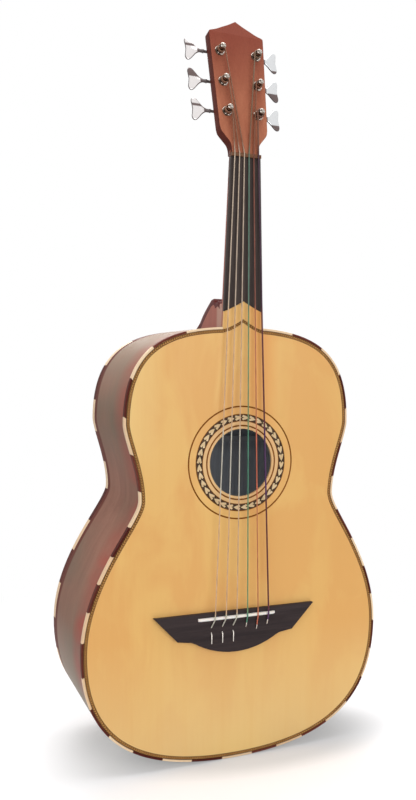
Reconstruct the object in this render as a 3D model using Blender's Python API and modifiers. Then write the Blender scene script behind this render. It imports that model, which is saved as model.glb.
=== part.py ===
# A guitarron: a large fretless bass guitar with a convex back and six geared tuning machines.
# Metres, +Z up along the neck, +X to the viewer's right, the soundboard faces -Y.
# The origin is on the end graft at the tail, where the instrument stands, at half the rim's depth.

import math

import bmesh
import bpy
from mathutils import Matrix, Vector
from mathutils.bvhtree import BVHTree

# Gap between glued or touching pieces, and what a cut takes past an edge or face
GAP = 0.0003
EDGE_MARGIN = 0.0001

# Body outline: widths are half widths, heights are from the tail, fullness is a share of the span it rounds
BODY_LENGTH = 0.628
RIM_DEPTH_TAIL = 0.190
RIM_DEPTH_HEEL = 0.170
LOWER_BOUT_HALF = 0.2326
LOWER_BOUT_Z = 0.1776
WAIST_HALF = 0.1526
WAIST_Z = 0.3835
UPPER_BOUT_HALF = 0.176
UPPER_BOUT_Z = 0.4912
TAIL_FULLNESS = 0.555
LOWER_BOUT_FULLNESS = (0.788, 0.490)
WAIST_FULLNESS = (0.136, 0.381)
UPPER_BOUT_FULLNESS = (0.186, 0.822)
SHOULDER_FULLNESS = 0.625
OUTLINE_STEPS = (8, 6, 5, 7)

# Plates, ribs and edges of the body
SOUNDBOARD_THICKNESS = 0.0035
BACK_THICKNESS = 0.0035
SIDE_THICKNESS = 0.0032
BINDING_WIDTH = 0.0029
TOP_BINDING_DEPTH = 0.007
BACK_BINDING_DEPTH = 0.013
PURFLING_WIDTH = 0.0045
PURFLING_PEAK_HALF = 0.034
PURFLING_PEAK_RISE = 0.0155
LINING_WIDTH = 0.006
LINING_DEPTH = 0.014
END_GRAFT_HALF = 0.008
BACK_RIDGE_RISE = 0.062
RIDGE_FULLNESS = 0.75
BACK_BULGE = 0.004
BACK_STRIP_HALF = 0.010
BACK_STRIP_THICKNESS = 0.003
BACK_ROWS = 2

# Sound hole and rosette, radii
SOUND_HOLE_Z = 0.433
SOUND_HOLE_RADIUS = 0.049
INNER_LINE_RADIUS = 0.0536
MOSAIC_RADIUS = 0.0652
OUTER_LINE_RADIUS = 0.0813
LINE_WIDTH = 0.0013
MOSAIC_WIDTH = 0.0108
INLAY_DEPTH = 0.0014
CUT_PAST = 0.001
# How far a cutter for the inside reaches past the ribs, and how far united solids reach into each other
RIM_CUT_REACH = 0.02
UNION_REACH = 0.003
ROUND_STEPS = 32
SHAFT_STEPS = 10

# Blocks and braces inside
TAIL_BLOCK_HALF = 0.030
TAIL_BLOCK_HEIGHT = 0.024
FOOT_HALF = 0.035
FOOT_HEIGHT = 0.055
BRACE_WIDTH = 0.010
BRACE_HEIGHT = 0.018
BRACE_END_HEIGHT = 0.006
BRACE_TAPER = 0.045
BRACE_FROM_HOLE = 0.040
BACK_STRIP_FROM_BLOCKS = 0.006
BACK_STRIP_REACH = 0.004
BACK_STRIP_STEPS = 10
BACK_BRACE_HEIGHT = 0.016
BACK_BRACE_Z = (0.190, 0.450)
PATCH_HALF = 0.090
PATCH_HEIGHT = 0.036
PATCH_THICKNESS = 0.0025

# Neck and heel; depths are from the soundboard's face
SCALE_LENGTH = 0.660
FINGERBOARD_THICKNESS = 0.005
FINGERBOARD_NUT_HALF = 0.023
FINGERBOARD_END_HALF = 0.0305
TONGUE_LENGTH = 0.0215
TONGUE_PEAK_RISE = 0.0152
NECK_DEPTH_NUT = 0.020
NECK_DEPTH_HEEL = 0.029
HEEL_CORE_HALF = 0.008
HEEL_CORE_INTO_FOOT = 0.010
SHAFT_FULLNESS = (0.8, 0.9)
TONGUE_PAD_RISE = 0.001
HEEL_FRONT_HALF = 0.030
HEEL_BACK_HALF = 0.009
HEEL_END_SHARE = 0.6
VOLUTE_LENGTH = 0.020
# Heel's carved outline: depth behind the face, height above the body
HEEL_CARVING = (
    (0.0235, 0.0334),
    (0.0340, 0.0382),
    (0.0485, 0.0374),
    (0.0530, 0.0408),
    (0.0590, 0.0438),
    (0.0680, 0.0436),
    (0.0795, 0.0414),
    (0.1255, 0.0238),
    (0.1620, 0.0038),
)

# Nut and headstock; the head's own frame has Y up along the head and Z out of its front
NUT_HEIGHT = 0.005
NUT_RISE = 0.0025
HEAD_TILT = 12.6
HEAD_THICKNESS = 0.016
HEAD_EDGE = 0.0008
SCARF_REACH = 0.004
# Head's right-hand outline: half width, height above the nut
HEAD_OUTLINE = (
    (0.0215, 0.0000),
    (0.0215, 0.0080),
    (0.0236, 0.0160),
    (0.0300, 0.0242),
    (0.0352, 0.0310),
    (0.0370, 0.0370),
    (0.0382, 0.0550),
    (0.0431, 0.1825),
    (0.0427, 0.1855),
    (0.0405, 0.1870),
    (0.0318, 0.1900),
    (0.0228, 0.1945),
    (0.0110, 0.2003),
    (0.0000, 0.2073),
)

# Bridge and saddle
SADDLE_Z = 0.2115
BRIDGE_THICKNESS = 0.007
BRIDGE_SHIFT = -0.0062
BRIDGE_HALF = 0.1257
BRIDGE_TOP_ABOVE_SADDLE = 0.008
BRIDGE_SHOULDER_HALF = 0.0905
BRIDGE_SHOULDER_DROP = 0.0285
BRIDGE_STEP_HALF = 0.0695
BRIDGE_STEP_DROP = 0.0315
BELLY_HALF = 0.063
BELLY_TOP_DROP = 0.0345
BELLY_RISE = 0.0173
BELLY_STEPS = 10
SADDLE_HALF = 0.0603
SADDLE_WIDTH = 0.004
SADDLE_RISE = 0.004
SADDLE_SLOT_DEPTH = 0.003
HOLE_DROPS = (0.012, 0.012, 0.012, 0.016, 0.021, 0.015)
TUNNEL_LENGTH = 0.009
TUNNEL_DEPTH = 0.003
TUNNEL_RAMP = 0.003
TUNNEL_LEAD_SHARE = 0.35
TIE_START = 0.002
TIE_LENGTH = 0.0125

# Strings, from the viewer's left
STRING_RADII = (0.0009, 0.0009, 0.0009, 0.0010, 0.0009, 0.0012)
STRING_NAMES = ("1_pale", "2_pale", "3_pale", "4_green", "5_red", "6_plum")
TIED_STRINGS = (0, 1, 2)
SADDLE_SPACING = 0.0169
NUT_SPACING = 0.0074
TIE_SLANT = -0.0035
COIL_TURNS = 2
COIL_STEPS = 8
COIL_CLEARANCE = 0.0005
COIL_SPACING = 0.0003

# Tuning machines; posts from the nut end to the tip
POST_X = (0.0247, 0.0270, 0.0287)
POST_Y = (0.0615, 0.1078, 0.1552)
POST_HEIGHT = 0.0146
POST_RADIUS = 0.004
POST_WAIST_RADIUS = 0.0036
POST_CAP_HEIGHT = 0.004
POST_COLLAR_RADIUS = 0.005
POST_CROWN_SHARE = 0.75
POST_CROWN_DROP = 0.0006
POST_WAIST_SLOPE = 0.0006
COLLAR_FROM_GEAR = 0.0005
STRING_HOLE_RADIUS = 0.0012
RUNNING_GAP = 0.0003
FERRULE_RADIUS = 0.0075
FERRULE_HEIGHT = 0.0026
FERRULE_WALL = 0.0012
SLEEVE_LENGTH = 0.009
PLATE_THICKNESS = 0.0016
PLATE_BELOW_POST = 0.011
PLATE_ABOVE_KEY = 0.0065
PLATE_INNER = 0.0105
PLATE_OUTER = 0.0125
PLATE_CORNER = 0.004
GEAR_TEETH = 14
GEAR_WIDTH = 0.0036
GEAR_TIP_RADIUS = 0.0076
GEAR_ROOT_RADIUS = 0.0062
GEAR_TOOTH_TIP = 0.0007
GEAR_TOOTH_ROOT = 0.0014
GEAR_BOSS_HEIGHT = 0.0012
WORM_DISTANCE = 0.010
WORM_HEIGHT = 0.0042
WORM_TURNS = 2.6
WORM_STEPS = 8
WORM_TIP_RADIUS = 0.0035
WORM_ROOT_RADIUS = 0.0021
WORM_ROOT_WIDTH = 0.0014
WORM_ROOT_BURIED = 0.0004
WORM_RUN_OUT = 0.0001
WORM_RUN_OUT_STEPS = 3
EAR_THICKNESS = 0.0016
EAR_HALF = 0.0042
EAR_DISTANCE = 0.0072
# Key's outline: distance from the post, half height
KEY_OUTLINE = (
    (0.0190, 0.0026),
    (0.0235, 0.0030),
    (0.0285, 0.0062),
    (0.0335, 0.0118),
    (0.0375, 0.0160),
    (0.0410, 0.0174),
    (0.0440, 0.0160),
    (0.0454, 0.0120),
    (0.0446, 0.0060),
    (0.0438, 0.0000),
)
KEY_THICKNESS = 0.0026
KEY_BOSS_RISE = 0.0004
KEY_BOSS_START = 0.002
KEY_BOSS_LENGTH = 0.007
BORE_REACH = 0.02

# Values worked out from the sizes above
FOOT_LOW_Z = BODY_LENGTH - SIDE_THICKNESS - GAP - FOOT_HEIGHT
FACE_Y = -RIM_DEPTH_TAIL / 2
NUT_Z = SADDLE_Z + SCALE_LENGTH
NUT_TOP_Z = NUT_Z + NUT_HEIGHT / 2
NECK_FACE_Y = FACE_Y + FINGERBOARD_THICKNESS + GAP
INNER_FACE_Y = FACE_Y + SOUNDBOARD_THICKNESS + GAP
FINGERBOARD_END_Z = BODY_LENGTH + TONGUE_LENGTH
BACK_LEAN = (RIM_DEPTH_HEEL - RIM_DEPTH_TAIL) / BODY_LENGTH
BRIDGE_FACE_Y = FACE_Y - BRIDGE_THICKNESS - GAP
WORM_LEAD = 2 * math.pi * (WORM_DISTANCE - (WORM_TIP_RADIUS + WORM_ROOT_RADIUS) / 2) / GEAR_TEETH
KEY_AXIS_DEPTH = HEAD_THICKNESS + GAP + PLATE_THICKNESS + WORM_HEIGHT

COLOURS = {
    "spruce": ((0.84, 0.55, 0.24), 0.35, 0.0),
    "inner_wood": ((0.70, 0.50, 0.30), 0.7, 0.0),
    "red_wood": ((0.24, 0.06, 0.035), 0.25, 0.0),
    "head_wood": ((0.36, 0.11, 0.06), 0.35, 0.0),
    "dark_wood": ((0.035, 0.025, 0.025), 0.4, 0.0),
    "bridge_wood": ((0.05, 0.045, 0.05), 0.5, 0.0),
    "mosaic": ((0.25, 0.15, 0.08), 0.4, 0.0),
    "line_wood": ((0.12, 0.07, 0.04), 0.4, 0.0),
    "rope_wood": ((0.30, 0.17, 0.07), 0.4, 0.0),
    "block_binding": ((0.60, 0.42, 0.25), 0.3, 0.0),
    "bone": ((0.85, 0.82, 0.74), 0.35, 0.0),
    "nut_bone": ((0.62, 0.45, 0.28), 0.4, 0.0),
    "chrome": ((0.75, 0.75, 0.76), 0.12, 1.0),
    "string_pale": ((0.75, 0.70, 0.60), 0.4, 0.0),
    "string_green": ((0.05, 0.32, 0.20), 0.4, 0.0),
    "string_red": ((0.55, 0.10, 0.04), 0.4, 0.0),
    "string_plum": ((0.12, 0.02, 0.07), 0.4, 0.0),
}


# Scene, collections and materials


def clear_scene():
    for obj in list(bpy.data.objects):
        bpy.data.objects.remove(obj, do_unlink=True)


def new_collection(name):
    found = bpy.data.collections.new(name)
    bpy.context.scene.collection.children.link(found)
    return found


def make_materials():
    made = {}
    for name, (colour, roughness, metallic) in COLOURS.items():
        mat = bpy.data.materials.new(name)
        mat.use_nodes = True
        shader = mat.node_tree.nodes["Principled BSDF"]
        shader.inputs["Base Color"].default_value = (*colour, 1)
        shader.inputs["Roughness"].default_value = roughness
        shader.inputs["Metallic"].default_value = metallic
        made[name] = mat
    return made


clear_scene()
PARTS = new_collection("guitarron")
CUTTERS = new_collection("cutters")
MATERIALS = make_materials()


def add_object(name, data, material=None):
    """Links data as a part with a material, or as a cutter without one."""
    obj = bpy.data.objects.new(name, data)
    if material:
        PARTS.objects.link(obj)
        data.materials.clear()
        data.materials.append(MATERIALS[material])
    else:
        CUTTERS.objects.link(obj)
        obj.hide_render = True
        obj.display_type = "WIRE"
    return obj


def evaluated_mesh(obj):
    bpy.context.view_layer.update()
    graph = bpy.context.evaluated_depsgraph_get()
    return bpy.data.meshes.new_from_object(obj.evaluated_get(graph))


def closed_mesh(mesh, matrix=None):
    """Welds the mesh's loose caps, moves it by the matrix and turns its faces outwards."""
    bm = bmesh.new()
    bm.from_mesh(mesh)
    bmesh.ops.remove_doubles(bm, verts=bm.verts, dist=1e-6)
    if matrix:
        bm.transform(matrix)
    bmesh.ops.recalc_face_normals(bm, faces=bm.faces)
    bm.to_mesh(mesh)
    bm.free()
    return mesh


def boolean(obj, other, operation="DIFFERENCE"):
    mod = obj.modifiers.new(operation.title(), "BOOLEAN")
    mod.operation = operation
    mod.object = other
    return obj


def flatten(obj):
    """Joins the small faces that cuts leave on flat areas."""
    mod = obj.modifiers.new("Flatten", "DECIMATE")
    mod.decimate_type = "DISSOLVE"
    mod.angle_limit = math.radians(0.1)
    return obj


def smooth(obj, angle=35):
    obj.data.shade_smooth()
    obj.data.set_sharp_from_angle(angle=math.radians(angle))
    return obj


def bevel(obj, width, angle=40):
    mod = obj.modifiers.new("Bevel", "BEVEL")
    mod.width = width
    mod.segments = 1
    mod.limit_method = "ANGLE"
    mod.angle_limit = math.radians(angle)
    return obj


# Shapes

# From a plate's own plane to the soundboard's plane: its Y goes up the neck and its Z comes out of the face
UPRIGHT = Matrix.Rotation(math.pi / 2, 4, "X")


def plate_mesh(name, loops, thickness, matrix=None):
    """A flat outline with its holes, as thick as given about its own plane."""
    curve = bpy.data.curves.new(name, "CURVE")
    curve.dimensions = "2D"
    curve.fill_mode = "BOTH"
    curve.extrude = thickness / 2
    for loop in loops:
        spline = curve.splines.new("POLY")
        spline.points.add(len(loop) - 1)
        spline.use_cyclic_u = True
        for point, (x, y) in zip(spline.points, loop):
            point.co = (x, y, 0, 1)
    guide = add_object(name + "_outline", curve)
    mesh = evaluated_mesh(guide)
    bpy.data.objects.remove(guide)
    mesh.name = name
    return merged_caps(closed_mesh(mesh), matrix)


def merged_caps(mesh, matrix):
    """Makes each flat face of a plate one polygon on each side of X 0, then moves the plate."""
    bm = bmesh.new()
    bm.from_mesh(mesh)
    everything = bm.verts[:] + bm.edges[:] + bm.faces[:]
    middle = bmesh.ops.bisect_plane(bm, geom=everything, dist=1e-7, plane_co=(0, 0, 0), plane_no=(1, 0, 0))
    for part in middle["geom_cut"]:
        if isinstance(part, bmesh.types.BMEdge):
            part.seam = True
    bmesh.ops.dissolve_limit(bm, angle_limit=0.001, verts=bm.verts, edges=bm.edges, delimit={"SEAM"})
    if matrix:
        bm.transform(matrix)
    bm.to_mesh(mesh)
    bm.free()
    return mesh


def upright_plate(name, loops, front_y, depth, material=None):
    """A plate parallel to the soundboard, from front_y backwards."""
    matrix = Matrix.Translation((0, front_y + depth / 2, 0)) @ UPRIGHT
    return add_object(name, plate_mesh(name, loops, depth, matrix), material)


def box(name, low, high, material=None):
    bm = bmesh.new()
    bmesh.ops.create_cube(bm, size=1)
    size = Vector(high) - Vector(low)
    centre = (Vector(high) + Vector(low)) / 2
    bmesh.ops.scale(bm, vec=size, verts=bm.verts)
    bmesh.ops.translate(bm, vec=centre, verts=bm.verts)
    mesh = bpy.data.meshes.new(name)
    bm.to_mesh(mesh)
    bm.free()
    return add_object(name, mesh, material)


def rod(name, radius, start, length, matrix, steps=SHAFT_STEPS):
    """A cylinder along the matrix's Z from start, with a flat and not an edge towards its X."""
    bm = bmesh.new()
    bmesh.ops.create_cone(bm, cap_ends=True, segments=steps, radius1=radius, radius2=radius, depth=length)
    bmesh.ops.rotate(bm, matrix=Matrix.Rotation(math.pi / steps, 3, "Z"), verts=bm.verts)
    bmesh.ops.translate(bm, vec=(0, 0, start + length / 2), verts=bm.verts)
    bm.transform(matrix)
    mesh = bpy.data.meshes.new(name)
    bm.to_mesh(mesh)
    bm.free()
    return add_object(name, mesh)


def loft_mesh(name, sections):
    """A skin over sections of equally many points, closed at both ends."""
    bm = bmesh.new()
    rings = [[bm.verts.new(point) for point in section] for section in sections]
    for ring, following in zip(rings, rings[1:]):
        for k in range(len(ring)):
            after = (k + 1) % len(ring)
            bm.faces.new((ring[k], ring[after], following[after], following[k]))
    bm.faces.new(rings[0])
    bm.faces.new(rings[-1])
    bmesh.ops.recalc_face_normals(bm, faces=bm.faces)
    bmesh.ops.triangulate(bm, faces=bm.faces)
    mesh = bpy.data.meshes.new(name)
    bm.to_mesh(mesh)
    bm.free()
    return mesh


def turned(name, profile, steps, material=None):
    """Turns a profile of radius and height, listed from its top down the outer side."""
    mesh = bpy.data.meshes.new(name)
    edges = [(k, k + 1) for k in range(len(profile) - 1)]
    mesh.from_pydata([(r, 0, h) for r, h in profile], edges, [])
    obj = add_object(name, mesh, material)
    mod = obj.modifiers.new("Screw", "SCREW")
    mod.steps = steps
    mod.render_steps = steps
    mod.use_merge_vertices = True
    mod.merge_threshold = 0.00001
    return obj


def tube_mesh(name, points, radius, resolution=1):
    curve = bpy.data.curves.new(name, "CURVE")
    curve.dimensions = "3D"
    curve.bevel_depth = radius
    curve.bevel_resolution = resolution
    curve.use_fill_caps = True
    spline = curve.splines.new("POLY")
    spline.points.add(len(points) - 1)
    for point, place in zip(spline.points, points):
        point.co = (*place, 1)
    guide = add_object(name + "_line", curve)
    mesh = evaluated_mesh(guide)
    bpy.data.objects.remove(guide)
    mesh.name = name
    return closed_mesh(mesh)


def cut_by_plane(mesh, point, normal):
    """Takes away what lies on the normal's side of the plane and closes the cut."""
    bm = bmesh.new()
    bm.from_mesh(mesh)
    everything = bm.verts[:] + bm.edges[:] + bm.faces[:]
    bmesh.ops.bisect_plane(bm, geom=everything, plane_co=point, plane_no=normal, clear_outer=True)
    rim = [edge for edge in bm.edges if edge.is_boundary]
    bmesh.ops.holes_fill(bm, edges=rim, sides=0)
    bmesh.ops.recalc_face_normals(bm, faces=bm.faces)
    bm.to_mesh(mesh)
    bm.free()
    return mesh


def joined(name, first, others, material):
    """One solid of the first mesh object and the others, with its own material."""
    for other in others:
        boolean(first, other, "UNION")
    mesh = evaluated_mesh(first)
    mesh.name = name
    return add_object(name, mesh, material)


def mirrored(half):
    """A closed loop from the right-hand half, which runs from the bottom to the top of the centre line."""
    left = [(-x, y) for x, y in reversed(half) if x > 1e-9]
    return half + left


def circle(radius, centre_z, steps=ROUND_STEPS, phase=0.5):
    turn = [2 * math.pi * (k + phase) / steps for k in range(steps)]
    return [(radius * math.cos(a), centre_z + radius * math.sin(a)) for a in turn]


# Body outline


def bezier(p0, p1, p2, p3, t):
    a, b, c, d = (1 - t) ** 3, 3 * (1 - t) ** 2 * t, 3 * (1 - t) * t**2, t**3
    return (
        a * p0[0] + b * p1[0] + c * p2[0] + d * p3[0],
        a * p0[1] + b * p1[1] + c * p2[1] + d * p3[1],
    )


def outline_spans():
    """The four Bezier spans of the right-hand half, from the tail to the shoulder."""
    to_waist = WAIST_Z - LOWER_BOUT_Z
    to_upper = UPPER_BOUT_Z - WAIST_Z
    to_top = BODY_LENGTH - UPPER_BOUT_Z
    low, waist, high = LOWER_BOUT_FULLNESS, WAIST_FULLNESS, UPPER_BOUT_FULLNESS
    lower_side = (LOWER_BOUT_HALF, LOWER_BOUT_Z)
    waist_side = (WAIST_HALF, WAIST_Z)
    upper_side = (UPPER_BOUT_HALF, UPPER_BOUT_Z)
    return (
        (
            (0.0, 0.0),
            (TAIL_FULLNESS * LOWER_BOUT_HALF, 0.0),
            (LOWER_BOUT_HALF, LOWER_BOUT_Z * (1 - low[0])),
            lower_side,
        ),
        (
            lower_side,
            (LOWER_BOUT_HALF, LOWER_BOUT_Z + low[1] * to_waist),
            (WAIST_HALF, WAIST_Z - waist[0] * to_waist),
            waist_side,
        ),
        (
            waist_side,
            (WAIST_HALF, WAIST_Z + waist[1] * to_upper),
            (UPPER_BOUT_HALF, UPPER_BOUT_Z - high[0] * to_upper),
            upper_side,
        ),
        (
            upper_side,
            (UPPER_BOUT_HALF, UPPER_BOUT_Z + high[1] * to_top),
            (SHOULDER_FULLNESS * UPPER_BOUT_HALF, BODY_LENGTH),
            (0.0, BODY_LENGTH),
        ),
    )


def half_outline():
    points = [(0.0, 0.0)]
    for span, steps in zip(outline_spans(), OUTLINE_STEPS):
        points += [bezier(*span, (k + 1) / steps) for k in range(steps)]
    return points


HALF_OUTLINE = half_outline()


def inset(distance):
    """The right-hand half outline moved inwards, with its ends kept on the centre line."""
    closed = mirrored(HALF_OUTLINE)
    count = len(closed)
    moved = []
    for k in range(len(HALF_OUTLINE)):
        before, here, after = Vector(closed[k - 1]), Vector(closed[k]), Vector(closed[(k + 1) % count])
        first = (here - before).normalized()
        second = (after - here).normalized()
        normal_1 = Vector((-first.y, first.x))
        normal_2 = Vector((-second.y, second.x))
        place = here + (normal_1 + normal_2) * distance / (1 + normal_1.dot(normal_2))
        moved.append((place.x, place.y))
    return moved


def clipped(path, tail_x, top_x):
    """The part of a half path from tail_x at the tail to top_x at the shoulder."""
    kept = list(path)
    while kept[1][0] < tail_x:
        kept.pop(0)
    while kept[-2][0] < top_x:
        kept.pop()
    if tail_x > kept[0][0]:
        kept[0] = between(kept[0], kept[1], tail_x)
    if top_x > kept[-1][0]:
        kept[-1] = between(kept[-2], kept[-1], top_x)
    return kept


def between(first, second, x):
    share = (x - first[0]) / (second[0] - first[0])
    return (x, first[1] + share * (second[1] - first[1]))


def height_at(path, x):
    """Height of a half path's shoulder at x from the centre line."""
    return clipped(path, 0.0, x)[-1][1]


def half_width_at(path, z):
    for first, second in zip(path, path[1:]):
        if first[1] <= z <= second[1]:
            share = (z - first[1]) / (second[1] - first[1])
            return first[0] + share * (second[0] - first[0])
    return 0.0


def strip_loop(outer_inset, inner_inset, tail_x, top_x, side=1):
    """A closed loop between two insets of the outline on one side of the centre line."""
    outer = clipped(inset(outer_inset), tail_x, top_x)
    inner = clipped(inset(inner_inset), tail_x, top_x)
    loop = outer + inner[::-1]
    return [(side * x, z) for x, z in loop]


def lean_back(obj, back_only_from=None):
    """Slopes the rim's back: vertices behind the given depth, or all, move by their height."""
    for vertex in obj.data.vertices:
        if back_only_from is None or vertex.co.y > back_only_from:
            vertex.co.y += BACK_LEAN * vertex.co.z
    return obj


def back_y(z):
    return FACE_Y + RIM_DEPTH_TAIL + BACK_LEAN * z


# Bracket-shaped peaks of the fingerboard's end and the purfling


def peak_curve(half, base_z, rise, power, steps=5):
    """Points from the right-hand shoulder of the peak to its tip on the centre line."""
    shares = [k / steps for k in range(steps + 1)]
    return [(half * (1 - s), base_z + rise * s**power) for s in shares]


def board_half(z):
    """Half width of the fingerboard, and of the soundboard's tongue in line with it."""
    slope = (FINGERBOARD_END_HALF - FINGERBOARD_NUT_HALF) / (NUT_Z - FINGERBOARD_END_Z)
    return FINGERBOARD_END_HALF - slope * (z - FINGERBOARD_END_Z)


def tongue_end():
    return peak_curve(FINGERBOARD_END_HALF, FINGERBOARD_END_Z, TONGUE_PEAK_RISE, 1.15)


# Soundboard with its inlays


ROSETTE = (
    ("rosette_inner_line", INNER_LINE_RADIUS, LINE_WIDTH, "line_wood"),
    ("rosette_mosaic", MOSAIC_RADIUS, MOSAIC_WIDTH, "mosaic"),
    ("rosette_outer_line", OUTER_LINE_RADIUS, LINE_WIDTH, "line_wood"),
)


def ring_loops(radius, width):
    return [circle(radius + width / 2, SOUND_HOLE_Z), circle(radius - width / 2, SOUND_HOLE_Z)]


def purfling_loops(grow=0.0):
    """Outer and inner loop of the line that follows the edge and peaks at the neck."""
    outer_inset = SIDE_THICKNESS + GAP - grow
    inner_inset = SIDE_THICKNESS + GAP + PURFLING_WIDTH + grow
    loops = []
    for distance in (outer_inset, inner_inset):
        path = inset(distance)
        half = clipped(path, 0.0, PURFLING_PEAK_HALF)
        half[0] = (0.0, half[0][1])
        peak = peak_curve(PURFLING_PEAK_HALF, height_at(path, PURFLING_PEAK_HALF), PURFLING_PEAK_RISE, 1.5)
        loops.append(mirrored(half + peak[1:]))
    return loops


def make_soundboard():
    """The board, with one cutter for the channels of all its inlays, and the inlays."""
    tongue_root = board_half(BODY_LENGTH)
    half = clipped(inset(SIDE_THICKNESS), 0.0, tongue_root)
    loops = [mirrored(half + tongue_end()), circle(SOUND_HOLE_RADIUS, SOUND_HOLE_Z, phase=0.0)]
    blank = upright_plate("soundboard_blank", loops, FACE_Y, SOUNDBOARD_THICKNESS)
    channels = purfling_loops(GAP + EDGE_MARGIN)
    for name, radius, width, material in ROSETTE:
        channels += ring_loops(radius, width + 2 * GAP)
        smooth(upright_plate(name, ring_loops(radius, width), FACE_Y, INLAY_DEPTH, material))
    boolean(blank, upright_plate("inlay_cut", channels, FACE_Y - CUT_PAST, CUT_PAST + INLAY_DEPTH + GAP))
    add_object("soundboard", closed_mesh(evaluated_mesh(blank)), "spruce")
    upright_plate("top_purfling", purfling_loops(), FACE_Y, INLAY_DEPTH, "rope_wood")


# Ribs, bindings and linings


def make_bindings():
    tongue_root = board_half(BODY_LENGTH) + GAP
    outer = clipped(inset(0.0), 0.0, tongue_root)
    inner = clipped(inset(BINDING_WIDTH), 0.0, tongue_root)
    open_ring = outer + inner[::-1] + [(-x, z) for x, z in inner[1:]] + [(-x, z) for x, z in outer[:0:-1]]
    upright_plate("top_binding", [open_ring], FACE_Y, TOP_BINDING_DEPTH, "block_binding")
    loops = [mirrored(inset(0.0)), mirrored(inset(BINDING_WIDTH))]
    front = FACE_Y + RIM_DEPTH_TAIL - BACK_BINDING_DEPTH
    lean_back(upright_plate("back_binding", loops, front, BACK_BINDING_DEPTH, "block_binding"))


def make_sides():
    front = FACE_Y + TOP_BINDING_DEPTH + GAP
    depth = RIM_DEPTH_TAIL - TOP_BINDING_DEPTH - BACK_BINDING_DEPTH - 2 * GAP
    for name, side in (("side_left", -1), ("side_right", 1)):
        loop = strip_loop(0.0, SIDE_THICKNESS, END_GRAFT_HALF + GAP, HEEL_CORE_HALF + GAP, side)
        rib = upright_plate(name, [loop], front, depth, "red_wood")
        lean_back(rib, front + depth / 2)
    low = (-END_GRAFT_HALF, front, 0)
    high = (END_GRAFT_HALF, front + depth, SIDE_THICKNESS)
    lean_back(box("end_graft", low, high, "dark_wood"), front + depth / 2)


def make_linings():
    start = SIDE_THICKNESS + GAP
    for side, word in ((-1, "left"), (1, "right")):
        loop = strip_loop(start, start + LINING_WIDTH, TAIL_BLOCK_HALF + GAP, FOOT_HALF + GAP, side)
        upright_plate("top_lining_" + word, [loop], INNER_FACE_Y, LINING_DEPTH, "inner_wood")
        front = FACE_Y + RIM_DEPTH_TAIL - BACK_THICKNESS - GAP - LINING_DEPTH
        lean_back(upright_plate("back_lining_" + word, [loop], front, LINING_DEPTH, "inner_wood"))


# Convex back


def ridge_rise(z):
    share = min(max(z / BODY_LENGTH, 0.0), 1.0)
    return BACK_RIDGE_RISE * (4 * share * (1 - share)) ** RIDGE_FULLNESS


def back_point(edge, ridge_z, share, side):
    """A point of the back's outer face: share 0 is on the rim and share 1 on the ridge."""
    x = edge[0] * (1 - share)
    z = edge[1] * (1 - share) + ridge_z * share
    rise = ridge_rise(ridge_z) * share
    bulge = BACK_BULGE * 4 * share * (1 - share) * min(1.0, edge[0] / WAIST_HALF)
    return (side * max(x, GAP / 2), back_y(z) + rise + bulge, z)


def back_stations():
    """Pairs of a rim point and the ridge height that a straight line across the panel joins."""
    path = inset(SIDE_THICKNESS)
    low, high = path[0][1], path[-1][1]
    last = len(path) - 1
    return [(edge, low + (high - low) * k / last) for k, edge in enumerate(path)]


def grid_plate(name, rows, thickness, material):
    """A sheet through rows of points, thickened towards -Y."""
    bm = bmesh.new()
    grid = [[bm.verts.new(point) for point in row] for row in rows]
    for row, following in zip(grid, grid[1:]):
        for k in range(len(row) - 1):
            bm.faces.new((row[k], row[k + 1], following[k + 1], following[k]))
    bmesh.ops.remove_doubles(bm, verts=bm.verts, dist=1e-5)
    made = bmesh.ops.extrude_face_region(bm, geom=bm.faces[:])["geom"]
    lifted = [part for part in made if isinstance(part, bmesh.types.BMVert)]
    bmesh.ops.translate(bm, vec=(0, -thickness, 0), verts=lifted)
    bmesh.ops.recalc_face_normals(bm, faces=bm.faces)
    bmesh.ops.triangulate(bm, faces=bm.faces)
    mesh = bpy.data.meshes.new(name)
    bm.to_mesh(mesh)
    bm.free()
    return add_object(name, mesh, material)


def make_back():
    stations = back_stations()
    shares = [k / BACK_ROWS for k in range(BACK_ROWS + 1)]
    panels = []
    for name, side in (("back_left", -1), ("back_right", 1)):
        rows = [[back_point(edge, ridge, s, side) for s in shares] for edge, ridge in stations]
        panels.append(grid_plate(name, rows, BACK_THICKNESS, "red_wood"))
    return panels


def inner_back_y(panels, x, z, reach):
    """The lowest inner face of the back near x, within reach up and down."""
    found = []
    for panel in panels:
        tree = BVHTree.FromPolygons(
            [vertex.co for vertex in panel.data.vertices],
            [face.vertices for face in panel.data.polygons],
        )
        for shift in (-reach, 0, reach):
            hit = tree.ray_cast(Vector((x, 0, z + shift)), Vector((0, 1, 0)))[0]
            if hit:
                found.append(hit.y)
    return min(found)


def cross_bar(name, outline, z, width, material):
    """A bar across the body, from its outline in X and Y."""
    mesh = plate_mesh(name, [outline], width, Matrix.Translation((0, 0, z)))
    return add_object(name, mesh, material)


def make_back_strip(panels):
    """The strip inside the seam, between the tail block and the neck's foot."""
    path = inset(SIDE_THICKNESS)
    low = path[0][1] + TAIL_BLOCK_HEIGHT + BACK_STRIP_FROM_BLOCKS
    high = path[-1][1] - FOOT_HEIGHT - BACK_STRIP_FROM_BLOCKS
    rows = []
    for k in range(BACK_STRIP_STEPS + 1):
        z = low + (high - low) * k / BACK_STRIP_STEPS
        row = []
        for x in (-BACK_STRIP_HALF, 0.0, BACK_STRIP_HALF):
            near = x if x else 2 * GAP
            row.append((x, inner_back_y(panels, near, z, BACK_STRIP_REACH) - GAP, z))
        rows.append(row)
    grid_plate("back_centre_strip", rows, BACK_STRIP_THICKNESS, "inner_wood")


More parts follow.
